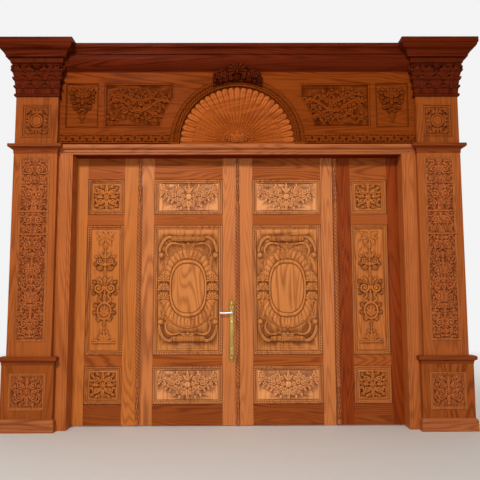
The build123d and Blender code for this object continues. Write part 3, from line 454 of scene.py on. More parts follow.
def draw_cartouche(carving, half, tall):
    """Convex oval in a ring, ribbed crescents, strap scrolls with balls, fluted rolls and side clusters."""
    raised_field(carving, half, tall)
    middle = 12
    ring = oval_share(carving, 176, 268, 2.5, middle)
    turn = np.arctan2((carving.v - middle) / 268, carving.u / 190)
    for side, centre, wide, high in ((1, 118, 234, 276), (-1, -108, 242, 250)):
        outer = oval_share(carving, wide, high, 2.0, centre)
        crescent = (ring > 1) & (outer < 1) & (side * carving.v > 84)
        across = np.clip((ring - 1) / np.maximum(ring - outer, 0.01), 0, 1)
        ribs = 0.5 + 0.5 * np.abs(np.cos(19 * turn + 1.6 * across * np.sign(carving.u)))
        taper = np.clip((side * carving.v - 84) / 60, 0, 1) ** 0.5
        swell = np.sin(np.pi * np.clip(across, 0.02, 0.98)) ** 0.5
        carving.lift(crescent, (16 * swell * ribs * taper)[crescent])
        rim = bell((outer - 0.985) / 0.02) * taper
        edge = (outer < 1.05) & (side * carving.v > 84) & (ring > 1)
        carving.lift(edge, (13 * rim)[edge])
        bead_row = bell((ring - 1.07) / 0.024) * (0.4 + 0.6 * np.abs(np.cos(34 * turn))) * taper
        carving.lift(edge, (17 * bead_row)[edge])
    for side, level in ((1, 478), (-1, 459)):
        carving.stroke([(0, side * level), (138, side * level)], [25, 25], 22)
        roll = (np.abs(carving.u) < 150) & (np.abs(carving.v - side * level) < 27)
        flute = 0.72 + 0.28 * notches(carving.u + 0.5 * carving.v, 14)
        carving.height[roll] *= flute[roll]
        for u in (48, 104, 148):
            carving.stroke([(u, side * level - 25), (u, side * level + 25)], [4, 4], 24)
        lift = side * (level - 478)
        strap = ((148, 490), (182, 494), (212, 482), (236, 456), (254, 424), (265, 388), (268, 356))
        echo = ((84, 424), (120, 436), (158, 436), (190, 418), (208, 386), (210, 350), (194, 318))
        for path, widths, rise, groove in (
            (strap, [12, 14, 15, 15, 14, 13, 10], 15, 0.35), (echo, [6, 8, 10, 11, 10, 8, 6], 10, 0.3),
        ):
            carving.stroke([(u, side * v + lift) for u, v in path], widths, rise, groove)
        carving.bead(256, side * 322 + lift, 25, 19)
        carving.shell(0, side * 428 + lift, -90, 66, 190, 9, 19)
        carving.curl(78, side * 418 + lift, 15, 180, -side, rise=12)
    carving.fan_of_leaves(0, 296, 90, 76, 34, 110, 5, 18)
    carving.fan_of_leaves(0, -300, -90, 70, 34, 110, 5, 18)
    carving.leaf(214, 214, 100, 66, 26, 12)
    carving.leaf(222, -196, -80, 66, 26, 12)
    for v in (112, 30, -54):
        carving.shell(228, v - 30, 90, 60, 210, 7, 17)
        carving.rosette(228, v - 22, 24, 6, 17)
        carving.curl(266, v - 16, 19, 0, 1, rise=13)
        carving.curl(192, v - 16, 17, 180, -1, rise=13)
    carving.fan_of_leaves(228, -92, -90, 54, 26, 80, 3, 14)
    carving.fan_of_leaves(228, 136, 90, 44, 26, 80, 3, 14)
    inner = oval_share(carving, 157, 234, 2.5, middle)
    band = (ring < 1) & (inner > 1)
    across = np.clip((inner - 1) / np.maximum(inner - ring, 0.001), 0, 1)
    carving.lift(band, (9 + 12 * np.sin(np.pi * np.clip(across, 0.02, 0.98)) ** 0.6)[band])
    dome = inner < 1
    carving.lift(dome, (5 + 11 * np.sqrt(np.clip(1 - 0.97 * inner**2, 0, 1)))[dome])
    carving.stroke([(0, -536), (108, -536)], [5, 5], 6)


def draw_chain(carving, half, tall):
    """Bow and pendant, three open scrolled figures and a small plant on a ledge."""
    raised_field(carving, half, tall)
    carving.stroke([(0, 540), (0, -440)], [5, 5], 5)
    carving.leaves(9, (
        (0, 500, 24, 92, 40), (0, 500, -20, 84, 30), (10, 480, -58, 70, 24), (0, 520, 72, 44, 26),
        (40, 470, -80, 60, 20), (0, 440, -90, 60, 34),
    ))
    carving.rosette(0, 500, 24, 6, 12)
    carving.curls(14, (
        (50, 268, 36, 200, 1), (44, 206, 30, 20, -1), (84, 236, 20, 0, 1), (58, 14, 52, 160, 1),
        (96, 64, 22, 0, 1), (42, -44, 22, 200, -1), (100, -36, 18, 90, -1), (78, -146, 22, 200, 1),
        (84, -214, 20, 20, -1), (52, -268, 22, 200, 1),
    ))
    carving.leaves(12, (
        (0, 290, 90, 56, 34), (14, 300, 50, 58, 26), (0, 236, 0, 60, 24), (0, 210, -90, 60, 30),
        (70, 300, 30, 34, 20), (0, 62, 90, 60, 34), (20, 66, 44, 66, 26), (0, -40, -90, 70, 36),
        (26, -52, -50, 56, 24), (104, 14, 0, 30, 22), (0, -138, 90, 50, 34), (0, -270, -90, 44, 30),
        (20, -130, 40, 60, 24), (24, -262, -40, 56, 24),
    ))
    shield = oval_share(carving, 62, 74, 2.0, -200)
    band = np.abs(shield - 1) < 0.16
    carving.lift(band, (13 * rounded((shield - 1) / 0.16))[band])
    carving.fan_of_leaves(0, -250, 90, 96, 30, 90, 5, 11)
    for v, radius in ((392, 12), (338, 11), (236, 20), (112, 11), (14, 18), (-96, 11), (-330, 10)):
        carving.bead(0, v, radius, 12)
    carving.fan_of_leaves(0, -488, 90, 108, 30, 84, 5, 12)
    carving.swirl(34, -440, 18, 180, 1, 12)
    carving.swirl(22, -392, 15, 180, 1, 12)
    carving.leaf(20, -486, 12, 84, 20, 9)
    carving.stroke([(0, -492), (104, -492)], [6, 6], 8)


def draw_square(carving, half, tall):
    """Square floral figure."""
    raised_field(carving, half, tall)
    draw_flower_square(carving, 0.86 * half, 0.84 * tall)


def draw_flower_square(carving, half, tall, rise=12):
    """Bouquet of scrolls and leaves that fills a square."""
    for across, up, size, start, hand in (
        (0.46, 0.46, 0.3, 200, 1), (0.5, -0.36, 0.3, 20, -1), (0.84, 0.08, 0.16, 0, 1),
        (0.22, 0.8, 0.16, 90, -1), (0.8, 0.76, 0.16, 30, 1), (0.8, -0.72, 0.17, 200, -1),
        (0.24, -0.76, 0.17, 270, 1),
    ):
        carving.curl(across * half, up * tall, size * half, start, hand, 1.5, 1.15 * rise)
    for across, up, angle, length, width in (
        (0.0, 0.3, 90, 0.66, 0.3), (0.0, -0.28, -90, 0.66, 0.32), (0.1, 0.24, 46, 0.6, 0.26),
        (0.1, -0.2, -44, 0.6, 0.26), (0.3, 0.04, 0, 0.6, 0.28), (0.62, 0.6, 40, 0.34, 0.2),
        (0.6, -0.56, -42, 0.36, 0.2), (0.7, 0.3, 20, 0.3, 0.18), (0.72, -0.16, -20, 0.3, 0.18),
        (0.36, 0.74, 70, 0.3, 0.2), (0.4, -0.72, -70, 0.3, 0.2),
    ):
        carving.leaf(across * half, up * tall, angle, length * half, width * half, rise)
    carving.rosette(0, 0, 0.27 * half, 8, 1.35 * rise)


def dense_foliage(carving, half, low, high, seed, size=17.0, rise=11.0):
    """Packed vine of curls and small leaves, with pockets between them."""
    draws = random.Random(seed)
    rows = int((high - low) / (1.9 * size))
    columns = int(half / (2.0 * size)) + 1
    for row in range(rows):
        for column in range(columns):
            u = (column + 0.5 * (row % 2)) * 2.0 * size + draws.uniform(-0.3, 0.3) * size
            v = low + (row + 0.6) * (high - low) / rows + draws.uniform(-0.3, 0.3) * size
            radius, turn = size * draws.uniform(0.66, 0.98), draws.uniform(0, 360)
            if u > half - 0.5 * size:
                continue
            if draws.random() < 0.55:
                carving.swirl(u, v, radius, turn, draws.choice((1, -1)), rise)
            else:
                carving.curl(u, v, 1.1 * radius, turn, draws.choice((1, -1)), 1.3, rise)
            carving.leaf(u, v, turn + 40, 2.1 * size, 0.8 * size, 0.95 * rise)


def sunk_border(carving, half, tall, width=14.0, rise=6.0):
    """Bead round a sunk panel."""
    away = np.minimum(half - np.abs(carving.u), tall - np.abs(carving.v))
    bead = rounded((away - width / 2) / (width / 2))
    notch = 0.6 + 0.4 * notches(carving.u + carving.v, 20)
    carving.height += rise * bead * notch


def draw_pilaster(carving, half, tall):
    """Dense vine up the shaft with a larger scrolled figure at every step."""
    inner, reach = half - 22, tall - 24
    dense_foliage(carving, inner, -reach, reach, 5, 15.0, 11)
    count = 7
    step = 2 * reach / count
    for link in range(count):
        v = -reach + (link + 0.5) * step
        turn = 1 if link % 2 else -1
        carving.curl(0.44 * inner, v + 0.1 * step, 0.36 * inner, 90 * turn, turn, 1.5, 16)
        carving.curl(0.5 * inner, v - 0.24 * step, 0.26 * inner, -90 * turn, -turn, 1.4, 15)
        carving.fan_of_leaves(0, v + 0.16 * step, 90, 0.28 * step, 26, 90, 3, 15)
        carving.fan_of_leaves(0, v - 0.16 * step, -90, 0.28 * step, 26, 80, 3, 15)
        carving.leaf(0.3 * inner, v + 0.36 * step, 30 * turn, 0.6 * inner, 24, 14)
        carving.rosette(0, v, 0.2 * inner, 6, 17)
    for share in (0.3, 0.425):
        ledge = tall - 2 * tall * share
        carving.stroke([(0, ledge), (half - 6, ledge)], [9, 9], 17)
        carving.fan_of_leaves(0, ledge + 10, 90, 54, 24, 120, 5, 16)
    carving.fan_of_leaves(0, 0.58 * -tall, 90, 78, 32, 150, 7, 19)
    carving.bead(0, 0.58 * -tall, 13, 20)


def draw_pedestal(carving, half, tall):
    """Scrolled bouquet on a pedestal."""
    dense_foliage(carving, half - 34, 34 - tall, tall - 34, 11, 15.0, 9)
    draw_flower_square(carving, 0.76 * half, 0.78 * tall, 14)


def draw_block(carving, half, tall, frame_width=30.0):
    """Stepped frame round an oval cartouche with shells in the corners."""
    away = np.minimum(half - np.abs(carving.u), tall - np.abs(carving.v))
    carving.height += 10 * rounded((away - 7) / 7)
    step = np.clip((frame_width - away) / 3, 0, 1) * np.clip((away - 14) / 3, 0, 1)
    carving.height += (5 - 0.1 * away) * step
    carving.base = carving.height.copy()
    half, tall = half - frame_width - 4, tall - frame_width - 4
    ring = oval_share(carving, 0.5 * half, 0.46 * tall)
    band = np.abs(ring - 1) < 0.16
    carving.lift(band, (14 * rounded((ring - 1) / 0.16))[band])
    dome = ring < 0.86
    carving.lift(dome, (4 + 6 * rounded(ring))[dome])
    for side in (1, -1):
        carving.shell(0.66 * half, side * 0.7 * tall, 45 * side, 0.38 * half, 170, 7, 13)
        spots = ((0.84, 0.3, 0.16), (0.34, 0.84, 0.16), (0.62, 0.36, 0.12), (0.36, 0.62, 0.12))
        for across, up, size in spots:
            carving.swirl(across * half, side * up * tall, size * half, 90, side, 13)
        carving.leaf(0.1 * half, side * 0.66 * tall, side * 20, 0.4 * half, 0.2 * half, 11)
        carving.leaf(0.62 * half, side * 0.1 * tall, side * 66, 0.4 * half, 0.2 * half, 11)
        carving.fan_of_leaves(0, side * 0.56 * tall, 90 * side, 0.42 * tall, 0.26 * half, 90, 3, 13)
    carving.leaf(0.56 * half, 0, 0, 0.4 * half, 0.28 * half, 12)


def draw_drop(carving, half, tall):
    """Cluster that narrows downwards, on a small frieze panel."""
    carving.curls(14, (
        (46, 112, 34, 200, 1), (96, 124, 26, 20, -1), (92, 78, 24, 200, 1), (38, 52, 28, 20, -1),
        (74, 30, 22, 200, 1), (34, -4, 26, 200, 1), (62, -26, 18, 20, -1), (26, -54, 20, 20, -1),
    ))
    carving.leaves(12, (
        (20, 132, 60, 44, 26), (66, 144, 30, 46, 24), (0, 60, -90, 60, 30), (20, 84, 20, 50, 24),
        (52, 0, -20, 44, 22), (10, -30, -60, 50, 24), (0, -84, -90, 60, 32), (10, -92, -52, 36, 18),
        (88, 52, -40, 34, 18),
    ))
    carving.fan_of_leaves(0, 96, 90, 76, 32, 90, 3, 14)
    carving.rosette(0, 84, 24, 6, 16)
    carving.bead(0, 20, 13, 13)
    carving.bead(0, -40, 11, 12)
    carving.bead(0, -158, 9, 9)


def draw_clouds(carving, near, far, middle, mirror):
    """Swirling foliage of a large frieze panel, laid out away from the arch; mirror is set on the left."""
    length = far - near

    def across(spot):
        return near + ((1 - spot) if mirror else spot) * length

    stems = ((13, 0.0, 0.03, 0.97, 54), (9, -70.0, 0.1, 0.62, -34), (9, 78.0, 0.3, 0.95, 30))
    for rise, height, first, last, wave in stems:
        share = np.linspace(first, last, STEM_POINTS)
        level = middle + height + wave * np.sin(2 * np.pi * (1.35 * share + 0.1))
        stem = np.stack([across(share), level], axis=1)
        carving.stroke(stem, 16 - 6 * np.linspace(0, 1, STEM_POINTS), rise, groove=0.3)
    for spot, up, radius, hand in (
        (0.09, 52, 44, 1), (0.24, -84, 48, -1), (0.31, 84, 42, 1), (0.48, 24, 46, 1),
        (0.53, -100, 40, -1), (0.62, 106, 40, -1), (0.74, -54, 46, 1), (0.88, 54, 46, -1),
        (0.93, -118, 36, 1), (0.4, -30, 34, -1), (0.16, -8, 34, 1), (0.64, -6, 32, -1), (0.78, 40, 30, 1),
        (0.46, 112, 28, 1), (0.09, -120, 34, -1), (0.78, 118, 30, 1), (0.38, -130, 28, 1),
    ):
        u, v = across(spot), middle + up
        carving.curl(u, v, radius, 90 + 60 * hand, -hand if mirror else hand, rise=13)
        carving.swirl(u, v, 0.6 * radius, 90, -hand if mirror else hand, 12)
        for lean in (20, 80, 150, 215, 290):
            angle = 180 - lean * hand if mirror else lean * hand
            turn = math.radians(angle)
            carving.leaf(u + 0.8 * radius * math.cos(turn), v + 0.8 * radius * math.sin(turn),
                         angle + 24, 1.1 * radius, 0.62 * radius, 10, 0.3)


def draw_running_leaf(carving, half, tall):
    """Running leaf with a cable below and a bead above."""
    pitch = 64.0
    u, v = carving.u, carving.v
    carving.height += 8 * rounded(v / 46)
    carving.base = carving.height.copy()
    for k in range(int(2 * half / pitch) + 1):
        spot = -half + (k + 0.3) * pitch
        flip = 1 if k % 2 else -1
        carving.curl(spot + 12, flip * 8, 17, 90, flip, rise=9)
        carving.leaf(spot + 16, flip * 4, 26 * flip, 46, 24, 9)
        carving.leaf(spot + 16, -flip * 4, -40 * flip, 42, 22, 9)
        carving.leaf(spot - 6, -flip * 16, 12 * flip, 40, 18, 8)
    for edge in (-tall + 7, tall - 7):
        cable = np.clip(1 - ((v - edge) / 6.5) ** 2, 0, 1)
        carving.height += 7 * np.sqrt(cable) * (0.55 + 0.45 * notches(u + v, 13))


# Shader trees: an expression on values adds its Math nodes
EVEN = (1.0, 1.0, 1.0)
GRAIN_STRETCH, FIBRE_STRETCH = 0.085, 0.012
FULL_TURN = 6.2832
RINGS, RIPPLE = 30.0, 0.55


class Value:
    """A socket that gives a number."""

    def __init__(self, tree, socket):
        self.tree, self.socket = tree, socket

    def math(self, operation, *values):
        node = self.tree.add("ShaderNodeMath", {"operation": operation}, dict(enumerate((self, *values))))
        return Value(self.tree, node.outputs[0])

    def __add__(self, other):
        return self.math("ADD", other)

    def __sub__(self, other):
        return self.math("SUBTRACT", other)

    def __mul__(self, other):
        return self.math("MULTIPLY", other)

    def __pow__(self, other):
        return self.math("POWER", other)

    def __rsub__(self, other):
        return self.math("MULTIPLY_ADD", -1.0, other)

    __radd__, __rmul__ = __add__, __mul__

    def clamped(self):
        return self.math("MAXIMUM", 0.0).math("MINIMUM", 1.0)


class Tree:
    """A node tree to which nodes and links are added."""

    def __init__(self, node_tree):
        self.nodes, self.links = node_tree.nodes, node_tree.links

    def add(self, kind, settings=None, sockets=None):
        """Node of a kind: its settings first, then the values or links of its sockets."""
        node = self.nodes.new(kind)
        for key, value in (settings or {}).items():
            setattr(node, key, value)
        for key, value in (sockets or {}).items():
            self.plug(node.inputs[key], value)
        return node

    def plug(self, socket, value):
        if isinstance(value, Value):
            value = value.socket
        if isinstance(value, bpy.types.NodeSocket):
            self.links.new(value, socket)
        else:
            socket.default_value = value


class Finish(Tree):
    """A material with its Principled shader."""

    def __init__(self, name, **constants):
        self.material = bpy.data.materials.new(name)
        self.material.use_nodes = True
        super().__init__(self.material.node_tree)
        self.shader = self.nodes["Principled BSDF"]
        self.set(**constants)

    def places(self, stretch=EVEN, shift=(0, 0, 0)):
        coordinates = self.add("ShaderNodeTexCoord")
        mapping = self.add("ShaderNodeMapping", {}, {
            "Vector": coordinates.outputs["Object"], "Scale": stretch, "Location": shift})
        return mapping.outputs[0]

    def noise(self, places, scale, detail=2.0, roughness=0.5, distortion=0.0):
        node = self.add("ShaderNodeTexNoise", {}, {
            "Vector": places, "Scale": scale, "Detail": detail, "Roughness": roughness,
            "Distortion": distortion})
        return Value(self, node.outputs[0])

    def attribute(self, name):
        return Value(self, self.add("ShaderNodeAttribute", {"attribute_name": name}).outputs["Fac"])

    def mix(self, share, first, second):
        node = self.add("ShaderNodeMix", {"data_type": "RGBA"}, {0: share, 6: first, 7: second})
        return node.outputs[2]

    def set(self, **sockets):
        for key, value in sockets.items():
            self.plug(self.shader.inputs[key.replace("_", " ")], value)

    def fade(self, near, far, colour):
        """Turns into a plain colour, as the camera sees it, between two distances from the middle."""
        away = self.add("ShaderNodeVectorMath", {"operation": "LENGTH"}, {0: self.places()})
        share = (Value(self, away.outputs["Value"]) * (1 / (far - near)) - near / (far - near)).clamped()
        seen = Value(self, self.add("ShaderNodeLightPath").outputs["Is Camera Ray"])
        plain = self.add("ShaderNodeEmission", {}, {"Color": colour})
        mixer = self.add("ShaderNodeMixShader", {}, {
            0: share * seen, 1: self.shader.outputs[0], 2: plain.outputs[0]})
        self.plug(self.nodes["Material Output"].inputs["Surface"], mixer.outputs[0])

    def bump(self, height, strength, distance):
        node = self.add("ShaderNodeBump", {}, {"Height": height, "Strength": strength, "Distance": distance})
        self.set(Normal=node.outputs[0])


def shade(colour, factor):
    """Colour made lighter or darker, with its alpha."""
    return tuple(min(1.0, part * factor) for part in colour) + (1.0,)


def lengthwise(along, share):
    """Scale that draws a pattern out along one axis."""
    return tuple(share if axis == along else 1.0 for axis in "xyz")


def wood(name, tone, along, shift, contrast=1.0, recess=0.9, gloss=1.0, foot=0.0):
    """Varnished hardwood: growth rings cut lengthwise, fibres and pores, with painted shade in carved hollows
    and a painted highlight on ridges.

    Below the height foot the colour is darker, as painted shade on the bottom rails.
    """
    finish = Finish(name, Coat_Weight=0.06 * gloss, Coat_Roughness=0.24, IOR=1.42,
                    Specular_IOR_Level=0.16 * gloss)
    red, green, blue = tone
    slow = finish.places(lengthwise(along, GRAIN_STRETCH), shift)
    quick = finish.places(lengthwise(along, FIBRE_STRETCH), shift)
    drift = finish.noise(slow, 3.4, 2.0, 0.42, 0.7)
    ripple = finish.noise(slow, 38.0)
    ring = (((drift * RINGS + ripple * RIPPLE) * FULL_TURN).math("SINE") * 0.5 + 0.5) ** 2.2
    strength = finish.noise(slow, 1.9, 1.0).math("MULTIPLY_ADD", 2.6, -0.75).clamped()
    fibre = finish.noise(quick, 240.0, 3.0, 0.62)
    pores = (finish.noise(quick, 620.0, 1.0) * 6.0 - 3.7).clamped()
    patch = finish.noise(finish.places(EVEN, shift), 2.3)
    hollow = finish.attribute("hollow")
    figure = ring * (strength * 0.5 + 0.22) + fibre * 0.55 + patch * 0.5 + pores * 0.3 - 0.42
    # Painted shade: darker below the height foot.
    if foot:
        height = finish.add("ShaderNodeSeparateXYZ", {}, {"Vector": finish.places()}).outputs[2]
        figure = figure + Value(finish, height).math("LESS_THAN", foot) * 0.42
    darkness = (figure * contrast).clamped()
    timber = finish.mix(darkness, shade(tone, 1.3), shade((red * 0.9, green * 0.68, blue * 0.55), 0.62))
    # Painted shade: the colour darkens towards a near-black brown in carved hollows and grooves; painted
    # highlight: it lightens on ridges and leaf tips.
    sunk = (hollow * 1.25).clamped() ** 0.8 * recess
    ridge = (hollow * -1.1).clamped() * 0.3
    carved = finish.mix(sunk, timber, shade((red * 0.95, green * 0.5, blue * 0.4), 0.14))
    finish.set(Base_Color=finish.mix(ridge, carved, shade((red, green * 1.18, blue * 1.3), 1.45)),
               Roughness=0.42 + fibre * 0.16 + sunk * 0.25)
    finish.bump(fibre * 0.6 + ring * 0.35 - pores * 0.7, 0.28, 0.0006)
    return finish.material


def metal(name, colour, roughness):
    """Brushed metal, darker in its hollows."""
    finish = Finish(name, Metallic=1.0)
    brushed = finish.noise(finish.places(lengthwise("z", 0.04)), 900.0)
    cloud = finish.noise(finish.places(), 30.0, 3.0)
    sunk = (finish.attribute("hollow") * 1.4).clamped()
    tint = finish.mix(cloud * 0.5, shade(colour, 1.1), shade(colour, 0.7))
    finish.set(Base_Color=finish.mix(sunk * 0.85, tint, shade(colour, 0.1)),
               Roughness=roughness + brushed * 0.12 + sunk * 0.2)
    finish.bump(brushed, 0.08, 0.0002)
    return finish.material


def rubber(name, colour):
    """Dull black rubber with a slight cloud."""
    finish = Finish(name)
    cloud = finish.noise(finish.places(), 60.0)
    tint = finish.mix(cloud, shade(colour, 0.8), shade(colour, 1.3))
    finish.set(Base_Color=tint, Roughness=0.6 + cloud * 0.2)
    return finish.material


# Woods: tone in even light unless noted as painted shade, grain direction, shift of the figure, then
# contrast, hollow shade, gloss and foot
WOODS = {
    "stile_wood": ((0.44, 0.142, 0.038), "z", (0.3, 0, 0)),
    "side_stile_wood": ((0.41, 0.122, 0.021), "z", (2.1, 0, 0.7)),
    # side_right_stile_wood is the side stile timber made darker, as painted shade on the right side of the
    # door.
    "side_right_stile_wood": ((0.21, 0.034, 0.003), "z", (3.6, 0, 0.2), 1.0, 0.9, 0.5),
    # rail_wood is darker below its foot, as painted shade on the bottom rails.
    "rail_wood": ((0.30, 0.072, 0.011), "x", (0, 0, 1.3), 1.0, 0.9, 0.6, 0.2),
    "field_wood": ((0.60, 0.245, 0.088), "z", (5.2, 0, 0.2), 0.8, 1.0),
    "cartouche_wood": ((0.47, 0.165, 0.042), "z", (6.2, 0, 0.9), 0.9, 0.84, 0.7),
    "side_field_wood": ((0.41, 0.122, 0.021), "z", (7.7, 0, 0.4), 0.9, 1.0),
    "bead_wood": ((0.56, 0.21, 0.066), "z", (9.4, 0, 0)),
    "side_bead_wood": ((0.48, 0.155, 0.038), "z", (8.4, 0, 3.0)),
    "column_wood": ((0.44, 0.142, 0.038), "z", (5.4, 0, 4.0)),
    "pilaster_bead_wood": ((0.48, 0.155, 0.038), "z", (1.4, 0, 2.0), 1.0, 0.9, 0.6),
    "casing_wood": ((0.36, 0.10, 0.022), "z", (4.1, 0, 3.0), 1.0, 0.9, 0.7),
    "pilaster_wood": ((0.30, 0.076, 0.015), "z", (6.5, 0, 1.9), 1.0, 0.9, 0.4),
    "pilaster_carved_wood": ((0.342, 0.0912, 0.0232), "z", (6.5, 0, 3.9), 0.9, 0.84, 0.4),
    "block_wood": ((0.245, 0.058, 0.0105), "z", (1.5, 0, 6.9), 1.0, 0.9, 0.2),
    "moulding_wood": ((0.32, 0.094, 0.027), "x", (1.2, 0, 8.2), 1.0, 0.9, 0.8),
    "ledge_wood": ((0.185, 0.036, 0.006), "x", (2.4, 0, 3.3), 1.0, 0.9, 0.5),
    # soffit_wood is set dark as painted shade under the head.
    "soffit_wood": ((0.125, 0.012, 0.002), "x", (4.4, 0, 1.3), 1.0, 0.9, 0.1),
    # frieze_wood is dark timber made darker still as painted shade under the roof.
    "frieze_wood": ((0.175, 0.034, 0.004), "x", (3.2, 0, 4.4), 1.0, 0.9, 0.06),
    "fan_wood": ((0.35, 0.08, 0.011), "x", (2.7, 0, 5.5), 0.8, 0.9, 0.5),
    # The dark finishes of the cornice, capitals and crown are dark stain deepened by painted shade under the
    # roof.
    "dark_wood_finish": ((0.088, 0.011, 0.0022), "x", (0.4, 0, 9.1), 1.0, 0.75, 0.12),
    "dark_carved_finish": ((0.084, 0.0108, 0.0022), "z", (0.9, 0, 7.1), 0.8, 0.9, 0.15),
}
finishes = {
    name.removesuffix("_finish").removesuffix("_wood"): wood(name, *row) for name, row in WOODS.items()
}
finishes.update({
    "brass": metal("lock_brass", (0.50, 0.31, 0.08), 0.3),
    "silver": metal("lever_silver", (0.78, 0.78, 0.80), 0.22),
    "steel": metal("hinge_steel", (0.27, 0.26, 0.25), 0.42),
    "rubber": rubber("seal_rubber", (0.02, 0.018, 0.016)),
})
FINISH_WORDS = (
    ("steel", "hinge bolt latch strike lock_case"), ("brass", "plate"), ("silver", "lever thumb_turn"),
    ("side_stile", "side_left_stiles"), ("side_right_stile", "side_right_stiles"), ("stile", "stiles"),
    ("rail", "rails"), ("bead", "beads"), ("column", "column"), ("dark", "cornice"),
    ("dark_carved", "crown capital"), ("field", "panels"), ("casing", "casings jamb"), ("soffit", "head"),
    ("moulding", "lintel"), ("ledge", "ledges"), ("moulding", "plinths"), ("ledge", "caps"),
    ("pilaster", "shafts"), ("block", "pedestals blocks"), ("frieze", "frieze carved_bands bead_rows"),
    ("fan", "fan"), ("frieze", "arch"),
)


def finish_of(node):
    """Finish of a node that keeps its own solids, by the first word found in its name."""
    return finishes[next(
        finish for finish, words in FINISH_WORDS if any(word in node for word in words.split()))]


for node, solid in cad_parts.items():
    solid.data.materials.clear()
    solid.data.materials.append(finish_of(node))


def fitted(piece, finish, *nodes, body="frame", slot="door_wood"):
    """Finish, body and the nodes that a finished piece stands for; slot is not used."""
    piece.data.materials.clear()
    piece.data.materials.append(finishes[finish])
    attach(piece, body)
    if nodes:
        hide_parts(*nodes)
    return piece


# Leaves: carved panels and rope beads
PANEL_OVERLAP = 31.0 * MM
board_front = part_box("main_left_beads")[1].y
figures = {"main": (draw_spray, draw_cartouche, draw_spray), "side": (draw_square, draw_chain, draw_square)}
for leaf in ("side_left", "main_left", "main_right", "side_right"):
    kind = leaf.split("_")[0]
    fields, ropes = [], []
    for level, (box, draw) in enumerate(zip(solids_of(leaf + "_beads"), figures[kind])):
        left, right, bottom, top = edges_of(*box)
        inner = (left + PANEL_OVERLAP, right - PANEL_OVERLAP, bottom + PANEL_OVERLAP, top - PANEL_OVERLAP)
        fields.append(carved_board(leaf + "_field_" + str(level), inner, board_front, draw))
        ropes.append(rope_frame(leaf + "_rope_" + str(level), (left, right, bottom, top), board_front))
    if kind == "main":
        fitted(fields.pop(1), "cartouche", body=leaf)
    prefix = "" if kind == "main" else "side_"
    fitted(joined(leaf + "_carving", fields), prefix + "field", leaf + "_panels", body=leaf)
    fitted(joined(leaf + "_rope", ropes), prefix + "bead", leaf + "_beads", body=leaf)


# Turned and rope-carved half columns: heights in millimetres, and radii at the turned ends
COLUMN_FULL = 21.0
COLUMN_ROPE = (437.0, 2022.0)
COLUMN_STATIONS = (
    (16, 20), (40, 20), (44, 16), (52, 20), (60, 14), (120, 19), (200, 20), (290, 15), (340, 11),
    (352, 19), (372, 20), (384, 15), (396, 20), (418, 20), (424, 15), (437, 20), (2022, 20), (2040, 20),
    (2046, 15), (2056, 20), (2066, 13), (2120, 19), (2190, 20), (2262, 13), (2276, 19), (2290, 13),
    (2340, 19), (2400, 18), (2440, 13), (2450, 20), (2466, 20), (2472, 15), (2492, 20),
)


def column_radius(z, turn):
    """Radius in millimetres at height z and at angles turn round the front, and how sunk it is, which the
    finish paints as shade.
    """
    if COLUMN_ROPE[0] < z < COLUMN_ROPE[1]:
        twist = np.abs(np.cos(math.pi * z / COLUMN_PITCH - 1.83 * turn))
        return COLUMN_FULL * (0.72 + 0.28 * twist**0.75), 1.1 * (1 - twist) ** 1.5
    radius = float(np.interp(z, *zip(*COLUMN_STATIONS)))
    plain_ends = z < 60 or z > 2444
    plain_collars = 344 < z < 437 or 2022 <= z < 2062
    if plain_ends or plain_collars:
        return radius + 0 * turn, 0.15 + 0 * turn
    leaf = np.abs(np.cos(2.5 * turn + 0.9 * math.sin(z / 17.0)))
    tier = 0.5 + 0.5 * math.cos(2 * math.pi * z / 46.0)
    carved = 0.8 + 0.2 * leaf * (0.55 + 0.45 * tier)
    return radius * carved, (1 - leaf) * 0.75 + 0.2 * (1 - tier)


def half_column(name, node):
    low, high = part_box(node)
    middle = (low.x + high.x) / 2
    turn = np.linspace(0, math.pi, 17)
    sections, hollow = [], []
    for z in spaced(low.z / MM, high.z / MM, 3.8):
        radius, dark = column_radius(z, turn)
        x, y = middle + radius * np.cos(turn) * MM, high.y - radius * np.sin(turn) * MM
        sections.append(np.stack([x, y, z * MM + 0 * turn], axis=-1))
        hollow.append(dark)
    return loft(name, np.array(sections), np.array(hollow), sharp_angle=70)


for node in ("side_left_column", "main_right_column", "side_right_column"):
    leaf = node.replace("_column", "")
    fitted(half_column(leaf + "_turned_column", node), "column", node, body=leaf)

# Pilasters: carved shaft, block and pedestal panels
PANEL_ROPE = 0.62
pilaster_draws = (draw_pedestal, draw_pilaster, draw_block)
pilaster_fronts = [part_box(node)[0].y + 4 * MM for node in ("pedestals", "shafts", "upper_blocks")]
pilaster_parts, pilaster_ropes = [], []
for number, (low, high) in enumerate(solids_of("pilaster_panels")):
    tier = number // 2
    box, front = edges_of(low, high), pilaster_fronts[tier]
    name = "pilaster_board_" + str(number)
    pilaster_parts.append(carved_board(name, box, front, pilaster_draws[tier]))
    if tier < 2:
        pilaster_ropes.append(rope_frame(name + "_rope", box, front, PANEL_ROPE, SMALL_ROPE_STEP))
fitted(joined("block_carving", pilaster_parts[4:]), "block")
fitted(joined("pilaster_carving", pilaster_parts[:4]), "pilaster_carved", "pilaster_panels")
fitted(joined("pilaster_rope", pilaster_ropes), "pilaster_bead")

